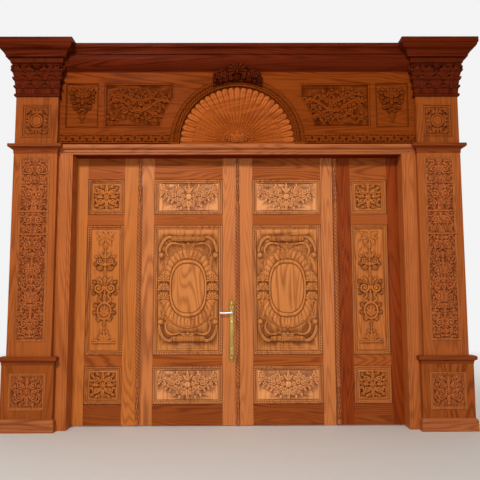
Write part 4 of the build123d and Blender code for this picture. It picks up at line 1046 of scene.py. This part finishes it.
# Frieze: two small and two large panels under the cornice
CLOUD_INSET, CLOUD_BACK = 40, 6.0
DROP_ROPE = 0.45
frieze_low, frieze_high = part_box("frieze")
frieze_front = frieze_low.y + 9 * MM
arch_low, arch_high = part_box("arch_band")
ARCH_RADIUS, ARCH_OUTER = 540.0, (arch_high.x - arch_low.x) / 2 / MM
ARCH_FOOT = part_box("fan")[0].z / MM
ARCH_Z = arch_high.z / MM - ARCH_OUTER
NOTCH_RADIUS = ARCH_OUTER + 103.0
frieze_boxes = sorted(solids_of("frieze_panels"), key=lambda box: box[0][0])
small_left, large_left, large_right, small_right = [edges_of(*box) for box in frieze_boxes]
frieze_parts, frieze_beads = [], []
for number, box in enumerate((small_left, small_right)):
    frieze_parts.append(carved_board("drop_board_" + str(number), box, frieze_front, draw_drop))
    frieze_beads.append(rope_frame("drop_bead_" + str(number), box, frieze_front, DROP_ROPE, SMALL_ROPE_STEP))


def arc_over(s, radius):
    """Upper half of a circle about the arch's centre, or the centre's level beside it."""
    return ARCH_Z + np.sqrt(np.clip(radius**2 - s**2, 0, None))


def cloud_board(name, box, mirror):
    """Large frieze panel with a beaded border, cut out for the arch."""
    left, right, bottom, top = (edge / MM for edge in box)
    middle = (box[2] + box[3]) / 2 / MM
    s = spaced(left, right)
    lower = np.maximum(bottom, np.where(np.abs(s) < NOTCH_RADIUS, arc_over(s, NOTCH_RADIUS), 0))

    def draw(carving):
        away = np.minimum(np.minimum(carving.u - left, right - carving.u), top - carving.v)
        away = np.minimum(away, carving.v - bottom)
        away = np.minimum(away, np.hypot(carving.u, carving.v - ARCH_Z) - NOTCH_RADIUS)
        border = rounded((away - 8) / 8) * (0.75 + 0.25 * notches(carving.u + carving.v, 14))
        draw_clouds(carving, left + CLOUD_INSET, right - CLOUD_INSET, middle, mirror)
        carving.height *= np.clip((away - 12) / 8, 0, 1)
        carving.height += 9 * border

    return relief(name, s, lower, top, facing(0, frieze_front, 0), -CLOUD_BACK, draw)


frieze_parts.append(cloud_board("cloud_board_left", large_left, True))
frieze_parts.append(cloud_board("cloud_board_right", large_right, False))
fitted(joined("frieze_carving", frieze_parts), "frieze", "frieze_panels")
fitted(joined("frieze_bead", frieze_beads), "frieze")

# Carved band and bead row under the frieze, left and right of the arch
band_low, band_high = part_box("carved_bands")
row_low, row_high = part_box("bead_rows")
band_parts, row_parts = [], []


def draw_beads(carving, half, tall):
    """Row of beads along the middle of a strip."""
    pitch = 15.0
    for k in range(int(2 * half / pitch)):
        carving.bead(-half + (k + 0.5) * pitch, 0, 6.6, 8)


for side, name in ((-1, "left"), (1, "right")):
    ends = sorted((side * (ARCH_OUTER - 6) * MM, side * band_high.x))
    box = (ends[0], ends[1], band_low.z, band_high.z)
    band_parts.append(carved_board("band_board_" + name, box, band_low.y + 10 * MM, draw_running_leaf))
    box = (ends[0], ends[1], row_low.z, row_high.z)
    row_parts.append(carved_board("bead_board_" + name, box, row_low.y + 5 * MM, draw_beads, 1.0, 2.5))
fitted(joined("band_carving", band_parts), "frieze", "carved_bands")
fitted(joined("bead_row_carving", row_parts), "frieze", "bead_rows")


# Fan and the band round it
RAY_COUNT = 27
HUB_RADIUS = 64.0
PETAL_FOOT, PETAL_TIP = 426.0, 536.0
RING_MIDDLE, RING_BACK, RING_STEP = 585, 16.0, 3.0
RAY_STEPS, RING_STEPS = 487, 541
FAN_REACH = ARCH_RADIUS + 12


def polar(front):
    """Places about the arch's centre: s is the angle in degrees from the right, t the radius."""
    def place(s, t, height):
        turn = np.radians(s)
        z = (ARCH_Z + t * np.sin(turn)) * MM
        return np.stack([t * np.cos(turn) * MM, front - height * MM, z], axis=-1)
    return place


def draw_fan(carving):
    """Beaded rays with petal ends over a palmette and two scrolls."""
    angle, away = carving.u.copy(), carving.v.copy()
    ray = 180.0 / RAY_COUNT
    across = np.abs((angle / ray) % 1 - 0.5) * 2
    beads = 0.2 + 0.8 * notches(away, 15 + 0.02 * away)
    slope = np.clip(away / 160.0, 0.25, 1)
    body = rounded(across / 0.92)
    core = bell(across / 0.34)
    height = 17 * slope * (0.45 * body + 0.55 * core * beads)
    tier = (away > 300) & (away < 420)
    height = np.where(tier, height * (0.7 + 0.3 * np.abs(np.cos(3 * np.pi * across))), height)
    lobe_end = PETAL_TIP - 26 * across**2
    outer = np.clip((away - PETAL_FOOT) / 14, 0, 1)
    petal = 15 * rounded(across) * np.clip((lobe_end - away) / 9, 0, 1) ** 0.5
    petal = petal * (1 - 0.24 * bell(across / 0.16)) * (0.82 + 0.18 * np.clip((away - 440) / 60, 0, 1))
    height = height * (1 - outer) + petal * outer
    carving.height = np.where(away < HUB_RADIUS, 2.0, height)
    turn = np.radians(angle)
    carving.u, carving.v = away * np.cos(turn), away * np.sin(turn)
    carving.base = np.where(away < 150, 3.0, 0.0)
    carving.fan_of_leaves(0, 8, 90, 126, 46, 130, 5, 19)
    for side in (1, -1):
        carving.curl(side * 74, 36, 36, 90 - 90 * side, side, 1.5, 21)
        carving.leaf(side * 100, 14, 90 - 76 * side, 70, 26, 16)
    carving.rosette(0, 12, 28, 8, 21)


fan_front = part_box("fan")[0].y + 15 * MM
fan_parts = [
    relief("fan_rays", np.linspace(0, 180, RAY_STEPS), 3.0, FAN_REACH, polar(fan_front), -BOARD_BACK,
           draw_fan),
    carved_board("fan_foot", (-FAN_REACH * MM, FAN_REACH * MM, ARCH_FOOT * MM, (ARCH_Z + 2) * MM),
                 fan_front - 4 * MM, draw_beads, EDGE_SHARE),
]
fitted(joined("fan_carving", fan_parts), "fan", "fan")


def draw_arch(carving):
    """From the fan outwards: scallops, wound leaves, a fillet and slanted flutes."""
    run, away = np.radians(carving.u) * RING_MIDDLE, carving.v - ARCH_RADIUS
    scallop = rounded((away - 8) / 9) * (0.5 + 0.5 * notches(run, 26))
    rope = rounded((away - 32) / 15)
    rope *= 0.4 + 0.6 * notches(run + 1.1 * away, 30)
    rope *= 1 - 0.25 * bell((((run + 1.1 * away) / 30) % 1 - 0.5) / 0.12)
    fillet = bell((away - 51) / 3)
    flutes = rounded((away - 70) / 15)
    flutes *= 0.4 + 0.6 * notches(run - 0.8 * away, 24)
    edge = bell((away - 87.5) / 2.5)
    carving.height = 12 * scallop + 15 * rope + 9 * fillet + 11 * flutes + 8 * edge


arch_front = arch_low.y + 13 * MM
arch_parts = [relief("arch_ring", np.linspace(0, 180, RING_STEPS), ARCH_RADIUS, ARCH_OUTER, polar(arch_front),
                     -RING_BACK, draw_arch, RING_STEP)]
for side in (-1, 1):
    ends = sorted((side * ARCH_RADIUS * MM, side * ARCH_OUTER * MM))
    box = (ends[0], ends[1], ARCH_FOOT * MM, (ARCH_Z + 1) * MM)
    name = "arch_foot_" + str(side + 1)
    arch_parts.append(carved_board(name, box, arch_front - 6 * MM, sunk_border, EDGE_SHARE))
fitted(joined("arch_carving", arch_parts), "frieze", "arch_band")


# Capitals: bell, three tiers of curled leaves, corner scrolls and abacus
CAPITAL_BASE, CAPITAL_BACK = 27.0, 20.0
CAPITAL_STEP, CAPITAL_LEVEL_STEP, CAPITAL_SHARE = 3.8, 3.4, 0.5
SHELF_LEVEL, EGG_LEVEL = 298, 321
BELL_LEVELS = (
    (0, 9), (6, 16), (20, 17), (27, 11), (29, 0), (90, 3), (170, 14), (250, 32), (296, 42), (300, 30),
    (308, 32), (312, 46), (330, 50), (338, 52), (360, 52),
)


def overhang(level):
    return np.interp(level, *zip(*BELL_LEVELS))


def around_pilaster(middle, half, front, base):
    """Places round a pilaster: s is the level, t runs round the front and both returns."""
    def place(s, t, height):
        reach = half + overhang(s)
        beyond = np.abs(t) - reach
        turn = np.clip(beyond / 16 + 0.5, 0, 1) * math.pi / 2
        x = np.sign(t) * (np.minimum(np.abs(t), reach) + height * np.sin(turn))
        y = np.maximum(beyond, 0) - overhang(s) - height * np.cos(turn)
        y = np.minimum(y, depth_of_capital)
        return np.stack([middle + x * MM, front + y * MM, base + s * MM], axis=-1)
    return place


def draw_capital(carving):
    """Three tiers of leaves whose tips bend over, scrolls at the corners and a flower in the middle."""
    level, run = carving.u, carving.v
    for foot, length, width, rise, spots in (
        (CAPITAL_BASE, 80, 124, 26, (70, 204, 296)),
        (CAPITAL_BASE + 52, 110, 118, 26, (0, 138, 226, 306)),
        (CAPITAL_BASE + 130, 110, 104, 24, (70, 176, 256, 330)),
    ):
        for spot in spots:
            for side in (1, -1) if spot else (1,):
                carving.curled_leaf(foot, side * spot, length, width, rise)
    for side in (1, -1):
        corner = side * (half_block + 34)
        carving.curl(CAPITAL_BASE + 246, corner - side * 34, 34, 180, side, 1.4, 24)
        carving.curl(CAPITAL_BASE + 246, corner + side * 52, 30, 0, -side, 1.4, 22)
        carving.curl(CAPITAL_BASE + 254, side * 66, 22, 180, -side, 1.3, 18)
        carving.leaf(CAPITAL_BASE + 200, side * 100, 40 * side, 70, 36, 18)
    carving.rosette(CAPITAL_BASE + 262, 0, 36, 8, 26)
    carving.height[level > SHELF_LEVEL] = 0.0
    carving.height += 5 * bell((level - EGG_LEVEL) / 8) * notches(run, 26)
    carving.height[level < CAPITAL_BASE] = 0.0


capital_parts = []
capital_boxes = solids_of("capitals")
pilaster_middle = abs(capital_boxes[1][0][0] + capital_boxes[1][1][0]) / 2
half_block = (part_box("upper_blocks")[1].x - pilaster_middle) / MM
block_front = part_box("upper_blocks")[0].y
depth_of_capital = (capital_boxes[0][1][1] - block_front) / MM
for number, (low, high) in enumerate(capital_boxes):
    levels = spaced(0, (high[2] - low[2]) / MM, CAPITAL_LEVEL_STEP)
    reach = half_block + 2 * overhang(levels) + depth_of_capital
    place = around_pilaster((low[0] + high[0]) / 2, half_block, block_front, low[2])
    capital_parts.append(relief("capital_" + str(number), levels, -reach, reach, place, -CAPITAL_BACK,
                                draw_capital, CAPITAL_STEP, CAPITAL_SHARE))
fitted(joined("capital_carving", capital_parts), "dark_carved", "capitals", slot="dark_wood")

# Narrow strips that close the space between each capital and the frieze
SEAT_INNER, SEAT_OUTER = 42 * MM, 26 * MM
SEAT_ROUNDING = 1.5 * MM
capital_seats = []
capital_low, capital_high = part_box("capitals")
seat_front, seat_back = frieze_low.y + 2 * MM, capital_high.y - 1 * MM
seat_levels = (capital_low.z + 2 * MM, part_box("centre_cornice")[0].z - 1 * MM)
for side in (-1, 1):
    near, far = sorted((side * (frieze_high.x - SEAT_INNER), side * (frieze_high.x + SEAT_OUTER)))
    outline = [
        (near, seat_back), (near, seat_front + SEAT_ROUNDING), (near + SEAT_ROUNDING, seat_front),
        (far - SEAT_ROUNDING, seat_front), (far, seat_front + SEAT_ROUNDING), (far, seat_back),
    ]
    sections = np.array([[(x, y, z) for x, y in outline] for z in seat_levels])
    capital_seats.append(loft("capital_seat_" + str(side), sections))
fitted(joined("capital_seats", capital_seats), "dark_carved", slot="dark_wood")

# Crown over the arch: a shell between scrolls
crown_low, crown_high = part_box("crown")
CROWN_HALF = crown_high.x / MM
CROWN_FOOT_RADIUS = 578.0
SHELL_HALF = 94.0
CROWN_SET_BACK = 44 * MM
CROWN_BACK, CROWN_STEP = 34.0, 3.2


def crown_top(s):
    """Upper outline: a round shell over wide scrolled wings."""
    away = np.abs(s)
    wing = crown_low.z / MM + 142 + 10 * np.cos(np.pi * (away - 140) / 60)
    wing = wing - 34 * np.clip((away - 196) / 32, 0, 1) ** 2
    wing = wing - 16 * bell((away - 106) / 12)
    shell = crown_high.z / MM - 66 + 66 * rounded(away / SHELL_HALF)
    return np.where(away < SHELL_HALF, np.maximum(shell, wing), wing)


def draw_crown(carving):
    """Double shell over a rosette, between scrolled wings."""
    foot = ARCH_Z + CROWN_FOOT_RADIUS
    carving.height += 10.0
    carving.base = carving.height.copy()
    carving.shell(0, foot + 84, 90, 92, 250, 9, 34)
    carving.shell(0, foot + 70, 90, 60, 220, 7, 40)
    carving.rosette(0, foot + 34, 34, 8, 36)
    for side in (1, -1):
        for u, v, radius, start, hand in (
            (58, 26, 30, 0, 1), (112, 66, 40, 180, -1), (172, 44, 38, 0, 1), (206, -6, 22, 90, -1),
            (108, 4, 28, 200, 1), (156, -10, 22, 30, -1),
        ):
            carving.curl(side * u, foot + v, radius, start, side * hand, 1.4, 26)
            carving.swirl(side * u, foot + v, 0.6 * radius, start, side * hand, 24)
        carving.leaf(side * 84, foot + 20, 90 - 60 * side, 90, 44, 28)
        carving.leaf(side * 140, foot + 60, 90 - 20 * side, 60, 34, 24)
        carving.leaf(side * 190, foot + 20, 90 - 70 * side, 40, 26, 22)


s = spaced(-CROWN_HALF, CROWN_HALF, CROWN_STEP)
place = facing(0, crown_low.y + CROWN_SET_BACK, 0)
crown = relief("crown_carving", s, arc_over(s, CROWN_FOOT_RADIUS), crown_top(s), place, -CROWN_BACK,
               draw_crown, CROWN_STEP, FINE_SHARE)
fitted(crown, "dark_carved", "crown", slot="dark_wood")


# Lock: long ornate plates and levers
PLATE_GROUND, PLATE_THICKNESS = 2.0, 3.5
PLATE_STEP, PLATE_DEPTH = 1.6, 1.5
SPINDLE_INSET, ARM_INSET = 11.0, 7.5
ARM_POINTS = 26


def plate_half(v, half, tall):
    """Half width of a plate: scrolled ends and a waisted body."""
    end = np.clip((tall - np.abs(v)) / 64, 0, 1)
    bulge = rounded(1 - np.clip((tall - np.abs(v)) / 30, 0, 1))
    wave = 1 - 0.16 * np.abs(np.sin(np.pi * np.clip((tall - np.abs(v)) / 64, 0, 1))) ** 2
    body = np.where(end < 1, bulge * wave, 0.86 + 0.06 * np.cos(np.pi * v / 90))
    return np.maximum(half * body, 5.0)


def draw_plate(carving, half, tall):
    """Raised rim, scrolled foliage at the ends, and bosses for the lever and the key."""
    v, t = carving.u, carving.v
    edge = plate_half(v, half, tall) - np.abs(t)
    rim = rounded((edge - 3.2) / 3.2)
    carving.height += PLATE_GROUND * np.clip(edge / 3, 0, 1)
    carving.base = carving.height.copy()
    for end in (1, -1):
        for side in (1, -1):
            carving.curl(end * (tall - 30), side * 11, 9, 0, side * end, 1.3, 3.4)
            carving.curl(end * (tall - 60), side * 11, 8, 180, -side * end, 1.3, 3.0)
            carving.leaf(end * (tall - 84), side * 3, 90 - end * 90 + side * end * 24, 34, 12, 3.0)
        carving.leaf(end * (tall - 50), 0, 90 - end * 90, 42, 15, 3.6)
        carving.leaf(end * (tall - 120), 0, 90 - end * 90, 40, 12, 3.0)
        carving.bead(end * (tall - 92), 0, 6, 3.6)
    for spot in (-112, -60, -8):
        carving.leaf(spot, 0, 0, 34, 11, 2.6)
        carving.leaf(spot, 0, 180, 30, 11, 2.6)
        carving.bead(spot, 0, 5, 3.4)
    carving.height += 3.2 * rim


def lock_plate(name, node, facing_side):
    """Plate on a node's place, whose carving faces the street at -1 and the room at 1."""
    low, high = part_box(node)
    half, tall = (high.x - low.x) / 2 / MM, (high.z - low.z) / 2 / MM
    middle = Vector(((low.x + high.x) / 2, 0, (low.z + high.z) / 2))
    seat = high.y if facing_side < 0 else low.y
    level = seat + facing_side * PLATE_THICKNESS * MM

    def place(s, t, height):
        x, y = middle.x - facing_side * t * MM, level + facing_side * height * MM
        return np.stack([x, y, middle.z + s * MM], axis=-1)

    def draw(carving):
        draw_plate(carving, half, tall)

    s = spaced(-tall, tall, PLATE_STEP)
    wide = plate_half(s, half, tall)
    return relief(name, s, -wide, wide, place, -PLATE_THICKNESS, draw, PLATE_STEP, FINE_SHARE, PLATE_DEPTH)


def swept(name, spots, wide, tall, first, second, around=20):
    """Bar through spots, oval in section, wide along the first direction and tall along the second."""
    turn = np.linspace(0, 2 * np.pi, around, endpoint=False)
    sections = [spot + np.outer(a * np.cos(turn), first) + np.outer(b * np.sin(turn), second)
                for spot, a, b in zip(spots, wide, tall)]
    return loft(name, np.array(sections) * MM, sharp_angle=60)


def lever_handle(name, node, facing_side):
    """Round rose, neck and a waved handle with a thicker rolled end."""
    low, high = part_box(node)
    seat = {-1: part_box("outer_plate")[0].y, 1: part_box("inner_plate")[1].y}[facing_side] / MM
    end = (low.y if facing_side < 0 else high.y) / MM
    level = (low.z + high.z) / 2 / MM
    spindle = high.x / MM - SPINDLE_INSET
    tip = low.x / MM
    arm = end - facing_side * ARM_INSET
    depth = np.array([0.4, 3, 6, 8, 10, 16, 26, 34, 40]) * facing_side + seat
    radius = np.array([15, 15.5, 14, 10, 8, 7, 7.5, 9, 6.5])
    neck = [np.array((spindle, y, level)) for y in depth]
    rose = swept(name + "_rose", neck, radius, radius, (1, 0, 0), (0, 0, 1), 28)
    share = np.linspace(0, 1, ARM_POINTS)
    run = spindle + 9 - share * (spindle + 9 - tip)
    wave = 1.5 * np.sin(2 * np.pi * share) + 2.4 * share**3
    spots = [np.array((x, arm, level + up)) for x, up in zip(run, wave)]
    ends = np.clip(np.minimum(share / 0.05, (1 - share) / 0.04), 0.12, 1) ** 0.5
    tall = (9.0 - 2.6 * np.sin(np.pi * np.clip(share * 1.15, 0, 1)) + 1.2 * share) * ends
    deep = (6.8 - 1.4 * np.sin(np.pi * share)) * ends
    handle = swept(name + "_bar", spots, deep, tall, (0, 1, 0), (0, 0, 1))
    return joined(name, [rose, handle])


for side_name, facing_side in (("outer", -1), ("inner", 1)):
    plate = lock_plate(side_name + "_lock_plate", side_name + "_plate", facing_side)
    fitted(plate, "brass", side_name + "_plate", body="main_left", slot="brass_plate")
    handle = lever_handle(side_name + "_handle", side_name + "_lever", facing_side)
    fitted(handle, "silver", side_name + "_lever", body="lever", slot="lever_metal")


# Seal in the meeting joint, near the inner face
SEAL_DEPTH, SEAL_WIDTH = 11 * MM, 2.4 * MM


def meeting_seal():
    low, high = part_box("main_left_stiles")
    back = high.y - 1.5 * MM
    outline = [
        (high.x + across * SEAL_WIDTH, back - inward * SEAL_DEPTH)
        for across, inward in ((0, 1), (0.8, 1), (1, 0.7), (1, 0.2), (0.8, 0), (0, 0))
    ]
    levels = (low.z + 2 * MM, high.z - 2 * MM)
    return loft("meeting_seal", np.array([[(x, y, z) for x, y in outline] for z in levels]))


fitted(meeting_seal(), "rubber", body="main_left", slot="steel")


# Stage, lights and camera
FLOOR_HALF = 30
FADE_START, FADE_END = 3.5, 9.0
PALE = (0.9, 0.9, 0.9, 1.0)
floor_mesh = bpy.data.meshes.new("floor")
corners = [(x * FLOOR_HALF, y * FLOOR_HALF, 0) for x, y in ((-1, -1), (1, -1), (1, 1), (-1, 1))]
floor_mesh.from_pydata(corners, [], [(0, 1, 2, 3)])
floor = bpy.data.objects.new("floor", floor_mesh)
bpy.context.scene.collection.objects.link(floor)
pale = Finish("pale_floor", Roughness=0.7)
cloud = pale.noise(pale.places(), 3.0) * 0.4
pale.set(Base_Color=pale.mix(cloud, (0.72, 0.71, 0.69, 1), (0.66, 0.65, 0.63, 1)))
pale.fade(FADE_START, FADE_END, PALE)
floor_mesh.materials.append(pale.material)

world = bpy.data.worlds.new("studio")
bpy.context.scene.world = world
world.use_nodes = True
tree = Tree(world.node_tree)
lit = tree.nodes["Background"]
tree.plug(lit.inputs["Color"], (1.0, 0.97, 0.93, 1.0))
tree.plug(lit.inputs["Strength"], 0.3)
seen = tree.add("ShaderNodeBackground", {}, {"Color": PALE, "Strength": 1.0})
rays = tree.add("ShaderNodeLightPath").outputs
plain = Value(tree, rays["Is Camera Ray"]).math("MAXIMUM", rays["Is Transmission Ray"])
plain = plain.math("MAXIMUM", rays["Is Glossy Ray"])
mixer = tree.add("ShaderNodeMixShader", {}, {0: plain, 1: lit.outputs[0], 2: seen.outputs[0]})
tree.plug(tree.nodes["World Output"].inputs["Surface"], mixer.outputs[0])


def soft_light(name, place, target, size, power):
    lamp = bpy.data.lights.new(name, "AREA")
    lamp.shape, lamp.size, lamp.energy, lamp.color = "DISK", size, power, (1.0, 0.96, 0.9)
    light = bpy.data.objects.new(name, lamp)
    light.location = place
    light.rotation_euler = (Vector(target) - Vector(place)).to_track_quat("-Z", "Y").to_euler()
    bpy.context.scene.collection.objects.link(light)


soft_light("key", (-2.2, -7.4, 6.0), (0.0, 0.0, 1.3), 1.4, 560)
soft_light("fill", (3.0, -8.0, 2.0), (0.0, 0.0, 1.2), 4.0, 90)
soft_light("back", (2.0, 6.5, 4.5), (0.0, 0.0, 1.6), 3.0, 260)


def set_camera():
    """Camera at the photograph's spot, turned by its yaw, pitch and roll."""
    yaw, pitch, roll = (math.radians(angle) for angle in (CAMERA_YAW, CAMERA_PITCH, CAMERA_ROLL))
    forward = Vector((math.sin(yaw) * math.cos(pitch), math.cos(yaw) * math.cos(pitch), math.sin(pitch)))
    level = Vector((math.cos(yaw), -math.sin(yaw), 0.0))
    upward = level.cross(forward)
    right = level * math.cos(roll) + upward * math.sin(roll)
    above = upward * math.cos(roll) - level * math.sin(roll)
    data = bpy.data.cameras.new("view")
    data.sensor_width = SENSOR
    data.lens = FOCAL_PIXELS / IMAGE_SIZE * SENSOR
    camera = bpy.data.objects.new("view", data)
    turned = Matrix((right, above, -forward)).transposed().to_4x4()
    camera.matrix_world = Matrix.Translation(CAMERA_SPOT) @ turned
    bpy.context.scene.collection.objects.link(camera)
    bpy.context.scene.camera = camera


set_camera()
bpy.context.scene.view_settings.view_transform = "Standard"
